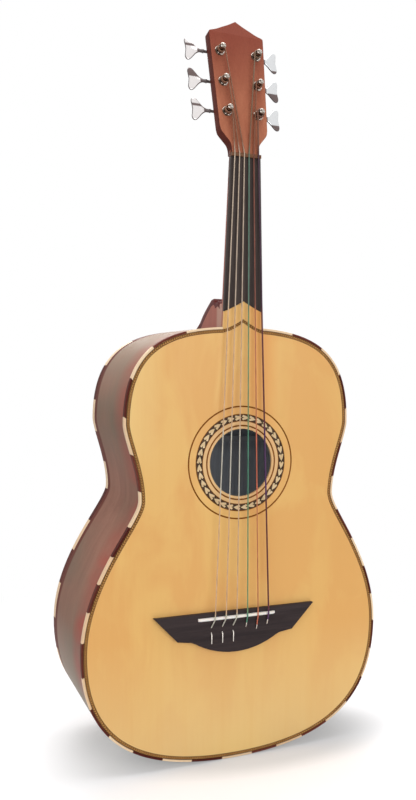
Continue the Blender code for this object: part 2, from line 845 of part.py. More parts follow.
def make_back_braces(panels):
    inner = inset(SIDE_THICKNESS + LINING_WIDTH + 2 * GAP)
    for name, z in zip(("back_brace_lower", "back_brace_upper"), BACK_BRACE_Z):
        reach = BRACE_WIDTH / 2
        half = min(half_width_at(inner, z - reach), half_width_at(inner, z + reach)) - GAP
        notch = BACK_STRIP_HALF + 2 * GAP
        places = (half, half * 0.75, half * 0.5, half * 0.25, notch)
        outer = [(x, inner_back_y(panels, x, z, reach) - 2 * GAP) for x in places]
        seat = inner_back_y(panels, notch, z, reach) - BACK_STRIP_THICKNESS - 4 * GAP
        right = outer + [(notch, seat)]
        lower = [(0.0, outer[-1][1] - BACK_BRACE_HEIGHT)]
        lower += [(half - BRACE_TAPER, outer[1][1] - BACK_BRACE_HEIGHT)]
        lower += [(half, outer[0][1] - BRACE_END_HEIGHT)]
        half_loop = lower + right
        loop = half_loop + [(-x, y) for x, y in reversed(half_loop[1:])]
        cross_bar(name, loop, z, BRACE_WIDTH, "inner_wood")


def make_top_braces():
    inner = inset(SIDE_THICKNESS + LINING_WIDTH + 2 * GAP)
    lower = SOUND_HOLE_Z - SOUND_HOLE_RADIUS - BRACE_FROM_HOLE
    upper = (SOUND_HOLE_Z + SOUND_HOLE_RADIUS + FOOT_LOW_Z) / 2
    for name, z in (("top_brace_lower", lower), ("top_brace_upper", upper)):
        edge = BRACE_WIDTH / 2
        half = min(half_width_at(inner, z - edge), half_width_at(inner, z + edge)) - GAP
        deep = INNER_FACE_Y + BRACE_HEIGHT
        ends = INNER_FACE_Y + BRACE_END_HEIGHT
        right = [(half, INNER_FACE_Y), (half, ends), (half - BRACE_TAPER, deep)]
        cross_bar(name, right + [(-x, y) for x, y in reversed(right)], z, BRACE_WIDTH, "inner_wood")
    z = SADDLE_Z - HOLE_DROPS[0]
    low = (BRIDGE_SHIFT - PATCH_HALF, INNER_FACE_Y, z - PATCH_HEIGHT / 2)
    high = (BRIDGE_SHIFT + PATCH_HALF, INNER_FACE_Y + PATCH_THICKNESS, z + PATCH_HEIGHT / 2)
    box("bridge_patch", low, high, "inner_wood")


def inside_rim_cutter(name):
    """Everything from the ribs' inner faces outwards."""
    loops = [mirrored(inset(-RIM_CUT_REACH)), mirrored(inset(SIDE_THICKNESS + GAP))]
    return upright_plate(name, loops, FACE_Y - RIM_CUT_REACH / 2, RIM_DEPTH_TAIL + RIM_CUT_REACH)


def make_tail_block():
    low = (-TAIL_BLOCK_HALF, INNER_FACE_Y, 0.0)
    back = FACE_Y + RIM_DEPTH_TAIL - BACK_THICKNESS - GAP
    high = (TAIL_BLOCK_HALF, back, SIDE_THICKNESS + TAIL_BLOCK_HEIGHT)
    block = lean_back(box("tail_block", low, high, "inner_wood"), 0.0)
    boolean(block, inside_rim_cutter("tail_block_cut"))


# Neck


def shaft_section(z):
    """A rounded section of the neck under the fingerboard."""
    share = min(max((z - BODY_LENGTH) / (NUT_Z - BODY_LENGTH), 0.0), 1.0)
    depth = NECK_DEPTH_HEEL + (NECK_DEPTH_NUT - NECK_DEPTH_HEEL) * share - FINGERBOARD_THICKNESS - GAP
    half = board_half(z)
    steps = 10
    section = []
    for k in range(steps + 1):
        turn = math.pi * k / steps
        x = half * math.copysign(abs(math.cos(turn)) ** SHAFT_FULLNESS[0], math.cos(turn))
        section.append((x, NECK_FACE_Y + depth * math.sin(turn) ** SHAFT_FULLNESS[1], z))
    return section


def head_matrix():
    """The head's frame: its origin is on the front face at the nut."""
    turn = Matrix.Rotation(math.radians(90 - HEAD_TILT), 4, "X")
    return Matrix.Translation((0, FACE_Y, NUT_TOP_Z + GAP)) @ turn


def shaft_mesh(name, low, high):
    count = 6
    heights = [low + (high - low) * k / count for k in range(count + 1)]
    return loft_mesh(name, [shaft_section(z) for z in heights])


def heel_width(depth):
    share = depth / (RIM_DEPTH_HEEL - NECK_DEPTH_HEEL)
    return HEEL_FRONT_HALF + (HEEL_BACK_HALF - HEEL_FRONT_HALF) * share


def heel_mesh():
    """The carved heel: four-cornered sections from the neck's face to the back."""
    base = BODY_LENGTH + GAP
    front = FINGERBOARD_THICKNESS + 2 * GAP
    end_rise = HEEL_CARVING[-1][1] * HEEL_END_SHARE
    stations = [(front, HEEL_CARVING[0][1])] + list(HEEL_CARVING) + [(RIM_DEPTH_HEEL, end_rise)]
    sections = []
    for depth, rise in stations:
        half = max(heel_width(depth - front), HEEL_BACK_HALF)
        y = FACE_Y + depth
        top = base + rise
        sections.append([(-half, y, base), (-half, y, top), (half, y, top), (half, y, base)])
    return loft_mesh("heel", sections)


def make_neck():
    frame = head_matrix()
    out = frame.to_3x3() @ Vector((0, 0, 1))
    glue_plane = frame @ Vector((0, 0, -HEAD_THICKNESS - GAP))
    shaft = shaft_mesh("shaft", BODY_LENGTH + UNION_REACH, NUT_TOP_Z + VOLUTE_LENGTH)
    cut_by_plane(shaft, glue_plane, out)
    base = add_object("shaft", shaft)
    heel = add_object("heel", heel_mesh())
    pad_low = BODY_LENGTH + TONGUE_PAD_RISE
    pad_half = [(board_half(pad_low), pad_low)] + [(x, z - GAP) for x, z in tongue_end()]
    pad_loop = mirrored(pad_half)
    pad = upright_plate("tongue_pad", [pad_loop], INNER_FACE_Y, NECK_FACE_Y - INNER_FACE_Y + UNION_REACH)
    foot_back = RIM_DEPTH_HEEL - BACK_THICKNESS - 2 * GAP
    foot = box(
        "foot",
        (-FOOT_HALF, INNER_FACE_Y, FOOT_LOW_Z),
        (FOOT_HALF, FACE_Y + foot_back, BODY_LENGTH),
    )
    boolean(foot, inside_rim_cutter("foot_cut"))
    core_back = FACE_Y + RIM_DEPTH_HEEL - BACK_BINDING_DEPTH - 2 * GAP
    core = box(
        "heel_core",
        (-HEEL_CORE_HALF, INNER_FACE_Y + TONGUE_PAD_RISE, FOOT_LOW_Z + FOOT_HEIGHT - HEEL_CORE_INTO_FOOT),
        (HEEL_CORE_HALF, core_back, BODY_LENGTH + UNION_REACH),
    )
    neck = joined("neck", base, (heel, pad, foot, core), "red_wood")
    smooth(flatten(neck))


def make_headstock():
    """The head, and the scarf below the nut that slides under the fingerboard."""
    frame = head_matrix()
    back = frame @ Vector((0, 0, -HEAD_THICKNESS))
    inward = frame.to_3x3() @ Vector((0, 0, -1))
    scarf_length = HEAD_THICKNESS / math.sin(math.radians(HEAD_TILT))
    scarf = shaft_mesh("scarf", NUT_TOP_Z - scarf_length, NUT_TOP_Z + SCARF_REACH)
    cut_by_plane(scarf, back, inward)
    scarf_piece = add_object("scarf", scarf)
    loop = mirrored(list(HEAD_OUTLINE))
    slab_matrix = frame @ Matrix.Translation((0, 0, -HEAD_THICKNESS / 2))
    slab = bevel(add_object("slab", plate_mesh("slab", [loop], HEAD_THICKNESS, slab_matrix)), HEAD_EDGE)
    seat = box(
        "nut_seat",
        (-FINGERBOARD_END_HALF, FACE_Y - CUT_PAST, NUT_Z - NUT_HEIGHT),
        (FINGERBOARD_END_HALF, NECK_FACE_Y + GAP, NUT_TOP_Z + GAP),
    )
    head = joined("headstock", boolean(slab, seat), (scarf_piece,), "head_wood")
    for k, (x, y) in enumerate(post_places()):
        place = frame @ Matrix.Translation((x, y, 0))
        bore = sleeve_radius() + GAP
        length = HEAD_THICKNESS + 2 * CUT_PAST
        boolean(head, rod(f"head_bore_{k}", bore, -HEAD_THICKNESS - CUT_PAST, length, place))
    flatten(head)


def make_fingerboard():
    end_z = NUT_Z - NUT_HEIGHT / 2 - GAP
    top = [(board_half(end_z), end_z), (0.0, end_z)]
    bottom = [(x, z + GAP) for x, z in reversed(tongue_end())]
    upright_plate("fingerboard", [mirrored(bottom + top)], FACE_Y, FINGERBOARD_THICKNESS, "dark_wood")


def make_nut(lines):
    low = (-FINGERBOARD_NUT_HALF, FACE_Y - NUT_RISE, NUT_Z - NUT_HEIGHT / 2)
    high = (FINGERBOARD_NUT_HALF, FACE_Y + FINGERBOARD_THICKNESS, NUT_Z + NUT_HEIGHT / 2)
    nut = box("nut", low, high, "nut_bone")
    for k, line in enumerate(lines):
        slot = tube_mesh(f"nut_slot_{k}", line[nut_index(k) - 1 : nut_index(k) + 3], STRING_RADII[k] + GAP)
        boolean(nut, add_object(f"nut_slot_{k}", slot))


# Bridge and saddle


def bridge_outline():
    top = SADDLE_Z + BRIDGE_TOP_ABOVE_SADDLE
    radius = (BELLY_HALF**2 + BELLY_RISE**2) / (2 * BELLY_RISE)
    belly_top = SADDLE_Z - BELLY_TOP_DROP
    centre = belly_top - BELLY_RISE + radius
    widest = math.asin(BELLY_HALF / radius)
    turns = [widest * k / (BELLY_STEPS // 2) for k in range(BELLY_STEPS // 2 + 1)]
    belly = [(radius * math.sin(a), centre - radius * math.cos(a)) for a in turns]
    half = belly + [
        (BRIDGE_STEP_HALF, SADDLE_Z - BRIDGE_STEP_DROP),
        (BRIDGE_SHOULDER_HALF, SADDLE_Z - BRIDGE_SHOULDER_DROP),
        (BRIDGE_HALF, top),
        (0.0, top),
    ]
    return [(x + BRIDGE_SHIFT, z) for x, z in mirrored(half)]


def make_bridge(lines):
    bridge = upright_plate("bridge", [bridge_outline()], BRIDGE_FACE_Y, BRIDGE_THICKNESS, "bridge_wood")
    slot_half = SADDLE_WIDTH / 2 + GAP
    slot = box(
        "saddle_slot",
        (BRIDGE_SHIFT - SADDLE_HALF - GAP, BRIDGE_FACE_Y - CUT_PAST, SADDLE_Z - slot_half),
        (BRIDGE_SHIFT + SADDLE_HALF + GAP, BRIDGE_FACE_Y + SADDLE_SLOT_DEPTH + GAP, SADDLE_Z + slot_half),
    )
    boolean(bridge, slot)
    for k, line in enumerate(lines):
        tunnel = tube_mesh(f"string_tunnel_{k}", tunnel_line(k), STRING_RADII[k] + GAP)
        boolean(bridge, add_object(f"string_tunnel_{k}", tunnel))
    flatten(bridge)


def make_saddle():
    """A strip of bone with a rounded crown, as long as the slot."""
    half = SADDLE_WIDTH / 2
    crown = BRIDGE_FACE_Y - SADDLE_RISE
    shoulder = crown + half
    turns = [math.pi * k / 6 for k in range(7)]
    section = [(SADDLE_Z + half * math.cos(a), shoulder - half * math.sin(a)) for a in turns]
    section += [(SADDLE_Z + z, BRIDGE_FACE_Y + SADDLE_SLOT_DEPTH) for z in (-half, half)]
    ends = [[(BRIDGE_SHIFT + x, y, z) for z, y in section] for x in (-SADDLE_HALF, SADDLE_HALF)]
    smooth(add_object("saddle", loft_mesh("saddle", ends), "bone"))


# Strings


def tunnel_points(k):
    """From above the bridge's face, down into the hole and, for a tied string, out again below."""
    radius = STRING_RADII[k]
    x = (k - 2.5) * SADDLE_SPACING
    tied = k in TIED_STRINGS
    if tied:
        x += TIE_SLANT
    z = SADDLE_Z - HOLE_DROPS[k]
    deep = BRIDGE_FACE_Y + TUNNEL_DEPTH
    proud = BRIDGE_FACE_Y - radius - 2 * GAP
    end = z - TUNNEL_LENGTH
    points = [(x, BRIDGE_FACE_Y - GAP / 2, z), (x, deep, z - TUNNEL_RAMP), (x, deep, end + TUNNEL_RAMP)]
    if tied:
        points += [(x, BRIDGE_FACE_Y - GAP / 2, end), (x, proud, end - TIE_START)]
    return points


def saddle_point(k):
    crown = BRIDGE_FACE_Y - SADDLE_RISE
    return ((k - 2.5) * SADDLE_SPACING, crown - STRING_RADII[k] - GAP, SADDLE_Z)


def tunnel_line(k):
    """The tunnel's own line, which starts a little up the string's slope to the saddle."""
    points = tunnel_points(k)
    first = Vector(points[0]).lerp(Vector(saddle_point(k)), TUNNEL_LEAD_SHARE)
    return [tuple(first)] + points


def coil_points(k):
    """The wound end of a string in the head's frame, from its tangent point down the post."""
    radius = STRING_RADII[k]
    x, y = post_places()[k]
    turning = POST_WAIST_RADIUS + COIL_CLEARANCE + radius
    start = head_matrix().inverted() @ Vector(nut_points(k)[-1])
    away = Vector((start.x - x, start.y - y))
    side = 1 if x < 0 else -1
    angle = math.atan2(away.y, away.x) + side * math.acos(turning / away.length)
    pitch = 2 * radius + COIL_SPACING
    bottom = FERRULE_HEIGHT + COIL_CLEARANCE + radius
    points = []
    for step in range(COIL_TURNS * COIL_STEPS + 1):
        turn = angle + side * 2 * math.pi * step / COIL_STEPS
        height = bottom + pitch * (COIL_TURNS - step / COIL_STEPS)
        points.append(Vector((x + turning * math.cos(turn), y + turning * math.sin(turn), height)))
    return [tuple(head_matrix() @ point) for point in points]


def nut_points(k):
    x = (k - 2.5) * NUT_SPACING
    y = FACE_Y - NUT_RISE
    reach = NUT_HEIGHT / 2
    return [(x, y, NUT_Z - reach), (x, y, NUT_Z + reach)]


def nut_index(k):
    """Place of the nut's first point in a string's line."""
    return len(tunnel_points(k)) + 1 + (1 if k in TIED_STRINGS else 0)


def string_line(k):
    """A string's centre line, from its tied end to its coil."""
    points = tunnel_points(k)
    if k in TIED_STRINGS:
        x, y, z = points[-1]
        points.append((x, y, z - TIE_LENGTH))
    points.reverse()
    return points + [saddle_point(k)] + nut_points(k) + coil_points(k)


def make_strings(lines):
    for k, line in enumerate(lines):
        name = "string_" + STRING_NAMES[k]
        colour = "string_" + STRING_NAMES[k].split("_")[1]
        smooth(add_object(name, tube_mesh(name, line, STRING_RADII[k]), colour), 60)


# Tuning machines


def post_places():
    """Post of each string in the head's frame, strings from the viewer's left."""
    left = [(-x, y) for x, y in zip(POST_X, POST_Y)]
    right = list(zip(POST_X, POST_Y))
    return left + right[::-1]


def sleeve_radius():
    return POST_RADIUS + RUNNING_GAP + FERRULE_WALL


def gear_loop():
    """Trapezoid teeth, with one at the top towards the worm."""
    loop = []
    for tooth in range(GEAR_TEETH):
        centre = math.pi / 2 + 2 * math.pi * tooth / GEAR_TEETH
        for radius, width in ((GEAR_ROOT_RADIUS, -GEAR_TOOTH_ROOT), (GEAR_TIP_RADIUS, -GEAR_TOOTH_TIP)):
            turn = centre + width / 2 / radius
            loop.append((radius * math.cos(turn), radius * math.sin(turn)))
        for radius, width in ((GEAR_TIP_RADIUS, GEAR_TOOTH_TIP), (GEAR_ROOT_RADIUS, GEAR_TOOTH_ROOT)):
            turn = centre + width / 2 / radius
            loop.append((radius * math.cos(turn), radius * math.sin(turn)))
    return loop


def post_mesh():
    """A post with its waist for the string, its collar and its gear, about its own axis."""
    top = POST_HEIGHT
    waist_low = FERRULE_HEIGHT + GAP
    plate_back = -HEAD_THICKNESS - GAP - PLATE_THICKNESS
    gear_front = -KEY_AXIS_DEPTH + GEAR_WIDTH / 2
    gear_back = -KEY_AXIS_DEPTH - GEAR_WIDTH / 2
    boss = gear_back - GEAR_BOSS_HEIGHT
    profile = [
        (0, top),
        (POST_RADIUS * POST_CROWN_SHARE, top),
        (POST_RADIUS, top - POST_CROWN_DROP),
        (POST_RADIUS, top - POST_CAP_HEIGHT),
        (POST_WAIST_RADIUS, top - POST_CAP_HEIGHT - POST_WAIST_SLOPE),
        (POST_WAIST_RADIUS, waist_low + POST_WAIST_SLOPE),
        (POST_RADIUS, waist_low),
        (POST_RADIUS, plate_back - RUNNING_GAP),
        (POST_COLLAR_RADIUS, plate_back - RUNNING_GAP),
        (POST_COLLAR_RADIUS, gear_front - COLLAR_FROM_GEAR),
        (POST_RADIUS, gear_front - COLLAR_FROM_GEAR),
        (POST_RADIUS, boss),
        (0, boss),
    ]
    stem = turned("post_stem", profile, SHAFT_STEPS)
    gear_matrix = Matrix.Translation((0, 0, -KEY_AXIS_DEPTH))
    gear = add_object("gear", plate_mesh("gear", [gear_loop()], GEAR_WIDTH, gear_matrix))
    boolean(stem, gear, "UNION")
    across = Matrix.Translation((0, 0, top - POST_CAP_HEIGHT / 2)) @ Matrix.Rotation(math.pi / 2, 4, "Y")
    boolean(stem, rod("string_hole", STRING_HOLE_RADIUS, -2 * POST_RADIUS, 4 * POST_RADIUS, across, 8))
    return evaluated_mesh(flatten(stem))


def worm_sections():
    """Sections of the thread, which runs out into the shaft at both ends."""
    sections = []
    total = round(WORM_TURNS * WORM_STEPS)
    buried = WORM_ROOT_RADIUS - WORM_ROOT_BURIED
    low = WORM_ROOT_RADIUS + WORM_RUN_OUT
    for step in range(total + 1):
        turn = 2 * math.pi * (step / WORM_STEPS - WORM_TURNS / 2) + math.pi
        along = WORM_LEAD * (step / WORM_STEPS - WORM_TURNS / 2) + WORM_LEAD / 2
        full = min(1.0, step / WORM_RUN_OUT_STEPS, (total - step) / WORM_RUN_OUT_STEPS)
        tip = low + (WORM_TIP_RADIUS - low) * full
        corners = ((buried, -WORM_ROOT_WIDTH / 2), (tip, 0), (buried, WORM_ROOT_WIDTH / 2))
        sections.append([(along + a, r * math.cos(turn), r * math.sin(turn)) for r, a in corners])
    return sections


def along_x(side):
    """A frame whose Z runs along X towards the given side."""
    return Matrix.Rotation(side * math.pi / 2, 4, "Y")


def key_mesh(side):
    """A key with its stem and worm, about the stem's axis, with the post's axis at X 0."""
    shaft_start = -EAR_DISTANCE - EAR_THICKNESS / 2
    blade_start = KEY_OUTLINE[0][0]
    shaft_length = blade_start + UNION_REACH - shaft_start
    shaft = rod("key_shaft", WORM_ROOT_RADIUS, shaft_start, shaft_length, along_x(side))
    thread = add_object("worm_thread", loft_mesh("worm_thread", worm_sections()))
    half = [(x, y) for x, y in KEY_OUTLINE]
    loop = half + [(x, -y) for x, y in reversed(half) if y > 0]
    loop = [(side * x, y) for x, y in loop]
    blade = add_object("key_blade", plate_mesh("key_blade", [loop], KEY_THICKNESS))
    boss_radius = KEY_OUTLINE[0][1] + KEY_BOSS_RISE
    boss = rod("key_boss", boss_radius, blade_start - KEY_BOSS_START, KEY_BOSS_LENGTH, along_x(side))
    for piece in (thread, boss, blade):
        boolean(shaft, piece, "UNION")
    return evaluated_mesh(flatten(shaft))


def ear_loop():
    """A bearing ear in its own plane, rounded over the shaft: X along the head, Y away from it."""
    base = -WORM_HEIGHT - PLATE_THICKNESS / 2
    turns = [math.pi * k / 4 for k in range(5)]
    arch = [(EAR_HALF * math.cos(a), EAR_HALF * math.sin(a)) for a in turns]
    return arch + [(-EAR_HALF, base), (EAR_HALF, base)]


def tuner_plate_mesh(side):
    """The plate on the back of the head with its two ears, about the post's axis on the head's back."""
    low_x, high_x = -PLATE_INNER, PLATE_OUTER
    low_y, high_y = -PLATE_BELOW_POST, WORM_DISTANCE + PLATE_ABOVE_KEY
    corner = PLATE_CORNER
    centres = (
        (high_x - corner, high_y - corner),
        (low_x + corner, high_y - corner),
        (low_x + corner, low_y + corner),
        (high_x - corner, low_y + corner),
    )
    loop = []
    for quarter, (x, y) in enumerate(centres):
        for step in range(3):
            turn = math.pi / 2 * (quarter + step / 2)
            loop.append((side * (x + corner * math.cos(turn)), y + corner * math.sin(turn)))
    middle = -GAP - PLATE_THICKNESS / 2
    base_matrix = Matrix.Translation((0, 0, middle))
    base = add_object("plate_base", plate_mesh("plate_base", [loop], PLATE_THICKNESS, base_matrix))
    axis_z = -GAP - PLATE_THICKNESS - WORM_HEIGHT
    # An ear's plane stands across the shaft: its X goes to the head's Y and its Y away from the head
    stand = Matrix(((0, 0, 1, 0), (1, 0, 0, 0), (0, -1, 0, 0), (0, 0, 0, 1)))
    for word, x in (("inner", -EAR_DISTANCE), ("outer", EAR_DISTANCE)):
        place = Matrix.Translation((side * x, WORM_DISTANCE, axis_z)) @ stand
        ear = add_object("ear_" + word, plate_mesh("ear_" + word, [ear_loop()], EAR_THICKNESS, place))
        boolean(base, ear, "UNION")
    axis = Matrix.Translation((0, WORM_DISTANCE, axis_z)) @ along_x(side)
    boolean(base, rod("ear_bore", WORM_ROOT_RADIUS + RUNNING_GAP, -BORE_REACH, 2 * BORE_REACH, axis))
    upright = Matrix.Identity(4)
    boolean(base, rod("plate_bore", POST_RADIUS + RUNNING_GAP, -BORE_REACH, 2 * BORE_REACH, upright))
    return evaluated_mesh(flatten(base))


def ferrule_mesh():
    """A six-sided flange on the front of the head, with a sleeve down into the bore."""
    flange = rod("ferrule_flange", FERRULE_RADIUS, GAP, FERRULE_HEIGHT - GAP, Matrix.Identity(4), 6)
    length = SLEEVE_LENGTH + CUT_PAST
    sleeve = rod("ferrule_sleeve", sleeve_radius(), -SLEEVE_LENGTH, length, Matrix.Identity(4))
    boolean(flange, sleeve, "UNION")
    bore = rod("ferrule_bore", POST_RADIUS + RUNNING_GAP, -BORE_REACH, 2 * BORE_REACH, Matrix.Identity(4))
    boolean(flange, bore)
    return evaluated_mesh(flatten(flange))


def make_tuners():
    head = bpy.data.objects.new("head_frame", None)
    PARTS.objects.link(head)
    head.matrix_world = head_matrix()
    shared = {"post": post_mesh(), "ferrule": ferrule_mesh()}
    for side in (-1, 1):
        shared["key", side] = key_mesh(side)
        shared["plate", side] = tuner_plate_mesh(side)
    for k, (x, y) in enumerate(post_places()):
        side = 1 if x > 0 else -1
        number = k + 1
        pieces = (
            (f"tuner_{number}_post", shared["post"], (x, y, 0)),
            (f"tuner_{number}_ferrule", shared["ferrule"], (x, y, 0)),
            (f"tuner_{number}_plate", shared["plate", side], (x, y, -HEAD_THICKNESS)),
            (f"tuner_{number}_key", shared["key", side], (x, y + WORM_DISTANCE, -KEY_AXIS_DEPTH)),
        )
        for name, mesh, place in pieces:
            obj = smooth(add_object(name, mesh, "chrome"))
            obj.parent = head
            obj.location = place


def main():
    make_soundboard()
    make_bindings()
    make_sides()
    make_linings()
    panels = make_back()
    make_back_strip(panels)
    make_back_braces(panels)
    make_top_braces()
    make_tail_block()
    make_neck()
    make_headstock()
    make_fingerboard()
    lines = [string_line(k) for k in range(len(STRING_NAMES))]
    make_nut(lines)
    make_bridge(lines)
    make_saddle()
    make_strings(lines)
    make_tuners()


main()
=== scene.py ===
import math
import random

import bmesh
import bpy
from mathutils import Matrix, Vector


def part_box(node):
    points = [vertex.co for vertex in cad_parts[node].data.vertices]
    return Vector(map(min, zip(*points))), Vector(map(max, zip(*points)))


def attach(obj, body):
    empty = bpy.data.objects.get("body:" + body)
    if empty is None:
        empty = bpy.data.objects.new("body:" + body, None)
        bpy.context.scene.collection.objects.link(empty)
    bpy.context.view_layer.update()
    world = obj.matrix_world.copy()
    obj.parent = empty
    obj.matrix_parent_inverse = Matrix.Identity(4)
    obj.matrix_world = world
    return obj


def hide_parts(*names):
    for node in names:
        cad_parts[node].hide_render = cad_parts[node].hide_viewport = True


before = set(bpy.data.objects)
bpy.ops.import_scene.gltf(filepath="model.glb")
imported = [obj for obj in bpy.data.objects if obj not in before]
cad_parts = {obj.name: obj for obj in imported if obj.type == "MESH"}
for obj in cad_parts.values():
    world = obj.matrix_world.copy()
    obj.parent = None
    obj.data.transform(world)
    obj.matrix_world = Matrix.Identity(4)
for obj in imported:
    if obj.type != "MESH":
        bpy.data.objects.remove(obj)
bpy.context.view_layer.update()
ROOT = "guitarron"

# Gaps between touching pieces, between the blocks of the binding and round what turns
GAP = 0.0003
BLOCK_GAP = 0.00008
RUNNING_GAP = 0.0003
# What a cutter or a buried end reaches past a surface, and how much wider an inlay's channel is
PAST = 0.001
CHANNEL_MARGIN = 0.0001
WELD = 1e-6

# Body sizes, from the frame where it has them
BACK_BINDING_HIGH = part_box("back_binding")[1]
FACE_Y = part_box("soundboard")[0].y
BODY_LENGTH = BACK_BINDING_HIGH.z
LOWER_BOUT_HALF = BACK_BINDING_HIGH.x
RIM_DEPTH_TAIL = -2 * FACE_Y
RIM_DEPTH_HEEL = 0.170
LOWER_BOUT_Z = 0.1776
WAIST_HALF = 0.1526
WAIST_Z = 0.3835
UPPER_BOUT_HALF = 0.176
UPPER_BOUT_Z = 0.4912
TAIL_FULLNESS = 0.555
LOWER_BOUT_FULLNESS = (0.788, 0.490)
WAIST_FULLNESS = (0.136, 0.381)
UPPER_BOUT_FULLNESS = (0.186, 0.822)
SHOULDER_FULLNESS = 0.625
OUTLINE_STEPS = 34
RIB_STEPS = 160

SOUNDBOARD_THICKNESS = 0.0035
BACK_THICKNESS = 0.0035
SIDE_THICKNESS = 0.0032
BINDING_WIDTH = 0.0029
TOP_BINDING_DEPTH = 0.007
BACK_BINDING_DEPTH = 0.013
# How far from the centre line the back binding ends, under the heel
BACK_BINDING_END = 0.001
# A block's rounded edge: its depth, and its share of the block's width; and the length between its sections
BLOCK_EDGE = 0.0004
BLOCK_EDGE_SHARE = 0.136
BLOCK_STEP = 0.004
PURFLING_WIDTH = 0.0045
PURFLING_PEAK_HALF = 0.034
PURFLING_PEAK_RISE = 0.0155
PURFLING_PEAK_POWER = 1.5
ROPE_PITCH = 0.0036
INLAY_DEPTH = 0.0014
END_GRAFT_HALF = 0.008
HEEL_CORE_HALF = 0.008
BACK_RIDGE_RISE = 0.0619
BACK_RIDGE_POWER = 0.75
BACK_BULGE = 0.004
BACK_ROWS = 14
BACK_LEAN = (RIM_DEPTH_HEEL - RIM_DEPTH_TAIL) / BODY_LENGTH

# Lengths along the half outline, from the tail, where the binding's colour changes: left half, right half
TOP_JOINTS = (
    (
        *(0.023, 0.071, 0.1165, 0.1645, 0.209, 0.258, 0.304, 0.352, 0.394),
        *(0.434, 0.475, 0.521, 0.573, 0.626, 0.679, 0.733, 0.787, 0.841),
    ),
    (
        *(0.025, 0.066, 0.110, 0.155, 0.199, 0.244, 0.290, 0.335, 0.378),
        *(0.425, 0.476, 0.530, 0.584, 0.637, 0.690, 0.743, 0.794, 0.848),
    ),
)
BACK_JOINTS = (
    *(0.024, 0.070, 0.110, 0.151, 0.193, 0.2385, 0.287, 0.337, 0.3915),
    *(0.446, 0.4975, 0.553, 0.5965, 0.646, 0.696, 0.752, 0.810, 0.8685),
)

SOUND_HOLE_Z = 0.433
SOUND_HOLE_RADIUS = 0.049
LINE_WIDTH = 0.0020
MOSAIC_RADIUS = 0.0652
MOSAIC_WIDTH = 0.0108
MOSAIC_BORDER = 0.0009
# Rings of the rosette: piece, node, radius, width, material, slot
RINGS = (
    ("rosette_line_inner", "rosette_inner_line", 0.0536, LINE_WIDTH, "line_wood_grain", "line_wood"),
    ("rosette_line_outer", "rosette_outer_line", 0.0813, LINE_WIDTH, "line_wood_grain", "line_wood"),
    ("rosette_ground", "rosette_mosaic", MOSAIC_RADIUS, MOSAIC_WIDTH, "mosaic_ground", "mosaic"),
)
ARROWS = 36
ARROW_PROUD = 0.00012
ARROW_REACH = (MOSAIC_WIDTH / 2 - MOSAIC_BORDER) * 0.84
# One arrowhead: share of its place round the ring, share of the ring's half width
ARROWHEAD = (
    *((0.30, 0.0), (0.04, 0.34), (0.16, 1.0), (0.60, 0.60)),
    *((0.96, 0.0), (0.60, -0.60), (0.16, -1.0), (0.04, -0.34)),
)
ROUND_STEPS = 128

SADDLE_Z = 0.2115
SCALE_LENGTH = 0.660
NUT_Z = SADDLE_Z + SCALE_LENGTH
NUT_HEIGHT = 0.005
NUT_RISE = 0.0025
NUT_TOP_Z = NUT_Z + NUT_HEIGHT / 2
FINGERBOARD_THICKNESS = 0.005
FINGERBOARD_NUT_HALF = 0.023
FINGERBOARD_END_HALF = 0.0305
FINGERBOARD_END_Z = BODY_LENGTH + 0.0215
FINGERBOARD_EDGE = 0.0005
TONGUE_PEAK_RISE = 0.0152
TONGUE_PEAK_POWER = 1.15
NECK_FACE_Y = FACE_Y + FINGERBOARD_THICKNESS + GAP
NECK_DEPTH_NUT = 0.020
NECK_DEPTH_HEEL = 0.029
NECK_ROUNDNESS = 0.9
NECK_OVERLAP = 0.003
NECK_STEPS = 24
VOLUTE_LENGTH = 0.020
SCARF_OVERLAP = 0.004
FOOT_HALF = 0.035
FOOT_HEIGHT = 0.055
FOOT_EDGE = 0.002
HEEL_FRONT_HALF = 0.030
HEEL_BACK_HALF = 0.009
# Heel's carved outline: depth behind the face, height above the body
HEEL_CARVING = (
    *((0.0056, 0.0334), (0.0235, 0.0334), (0.0340, 0.0382), (0.0485, 0.0374), (0.0530, 0.0408)),
    *((0.0590, 0.0438), (0.0680, 0.0436), (0.0795, 0.0414), (0.1255, 0.0238), (0.1620, 0.0038)),
    (0.1700, 0.0023),
)
HEEL_STEPS = 6
# Dark band of painted shade beside the carved edge: its height in front, its growth to the back, its largest
# share of the heel
HEEL_EDGE = 0.0060
HEEL_EDGE_GROWTH = 0.0085
HEEL_EDGE_MOST = 0.85
HEEL_CHAMFER = 0.0016
HEEL_CHAMFER_BULGE = 0.3

HEAD_TILT = 12.6
HEAD_THICKNESS = 0.016
HEAD_EDGE = 0.0009
# Head's right-hand outline: half width, height above the nut
HEAD_SIDE = (
    *((0.0215, 0.0000), (0.0215, 0.0080), (0.0236, 0.0160), (0.0300, 0.0242)),
    *((0.0352, 0.0310), (0.0370, 0.0370), (0.0382, 0.0550), (0.0431, 0.1825)),
)
HEAD_CROWN = (
    *((0.0431, 0.1825), (0.0427, 0.1855), (0.0405, 0.1870), (0.0318, 0.1900)),
    *((0.0228, 0.1945), (0.0110, 0.2003), (0.0000, 0.2068)),
)

BRIDGE_THICKNESS = 0.007
BRIDGE_FACE_Y = FACE_Y - BRIDGE_THICKNESS - GAP
BRIDGE_SHIFT = -0.0062
BRIDGE_HALF = 0.1257
BRIDGE_EDGE = 0.0007
BRIDGE_TOP_ABOVE_SADDLE = 0.008
BRIDGE_SHOULDER = (0.0905, 0.0285)
BRIDGE_STEP = (0.0695, 0.0315)
BELLY_HALF = 0.063
BELLY_TOP_DROP = 0.0345
BELLY_RISE = 0.0173
BELLY_STEPS = 24
SADDLE_HALF = 0.0603
SADDLE_WIDTH = 0.004
SADDLE_RISE = 0.004
SADDLE_SLOT_DEPTH = 0.003
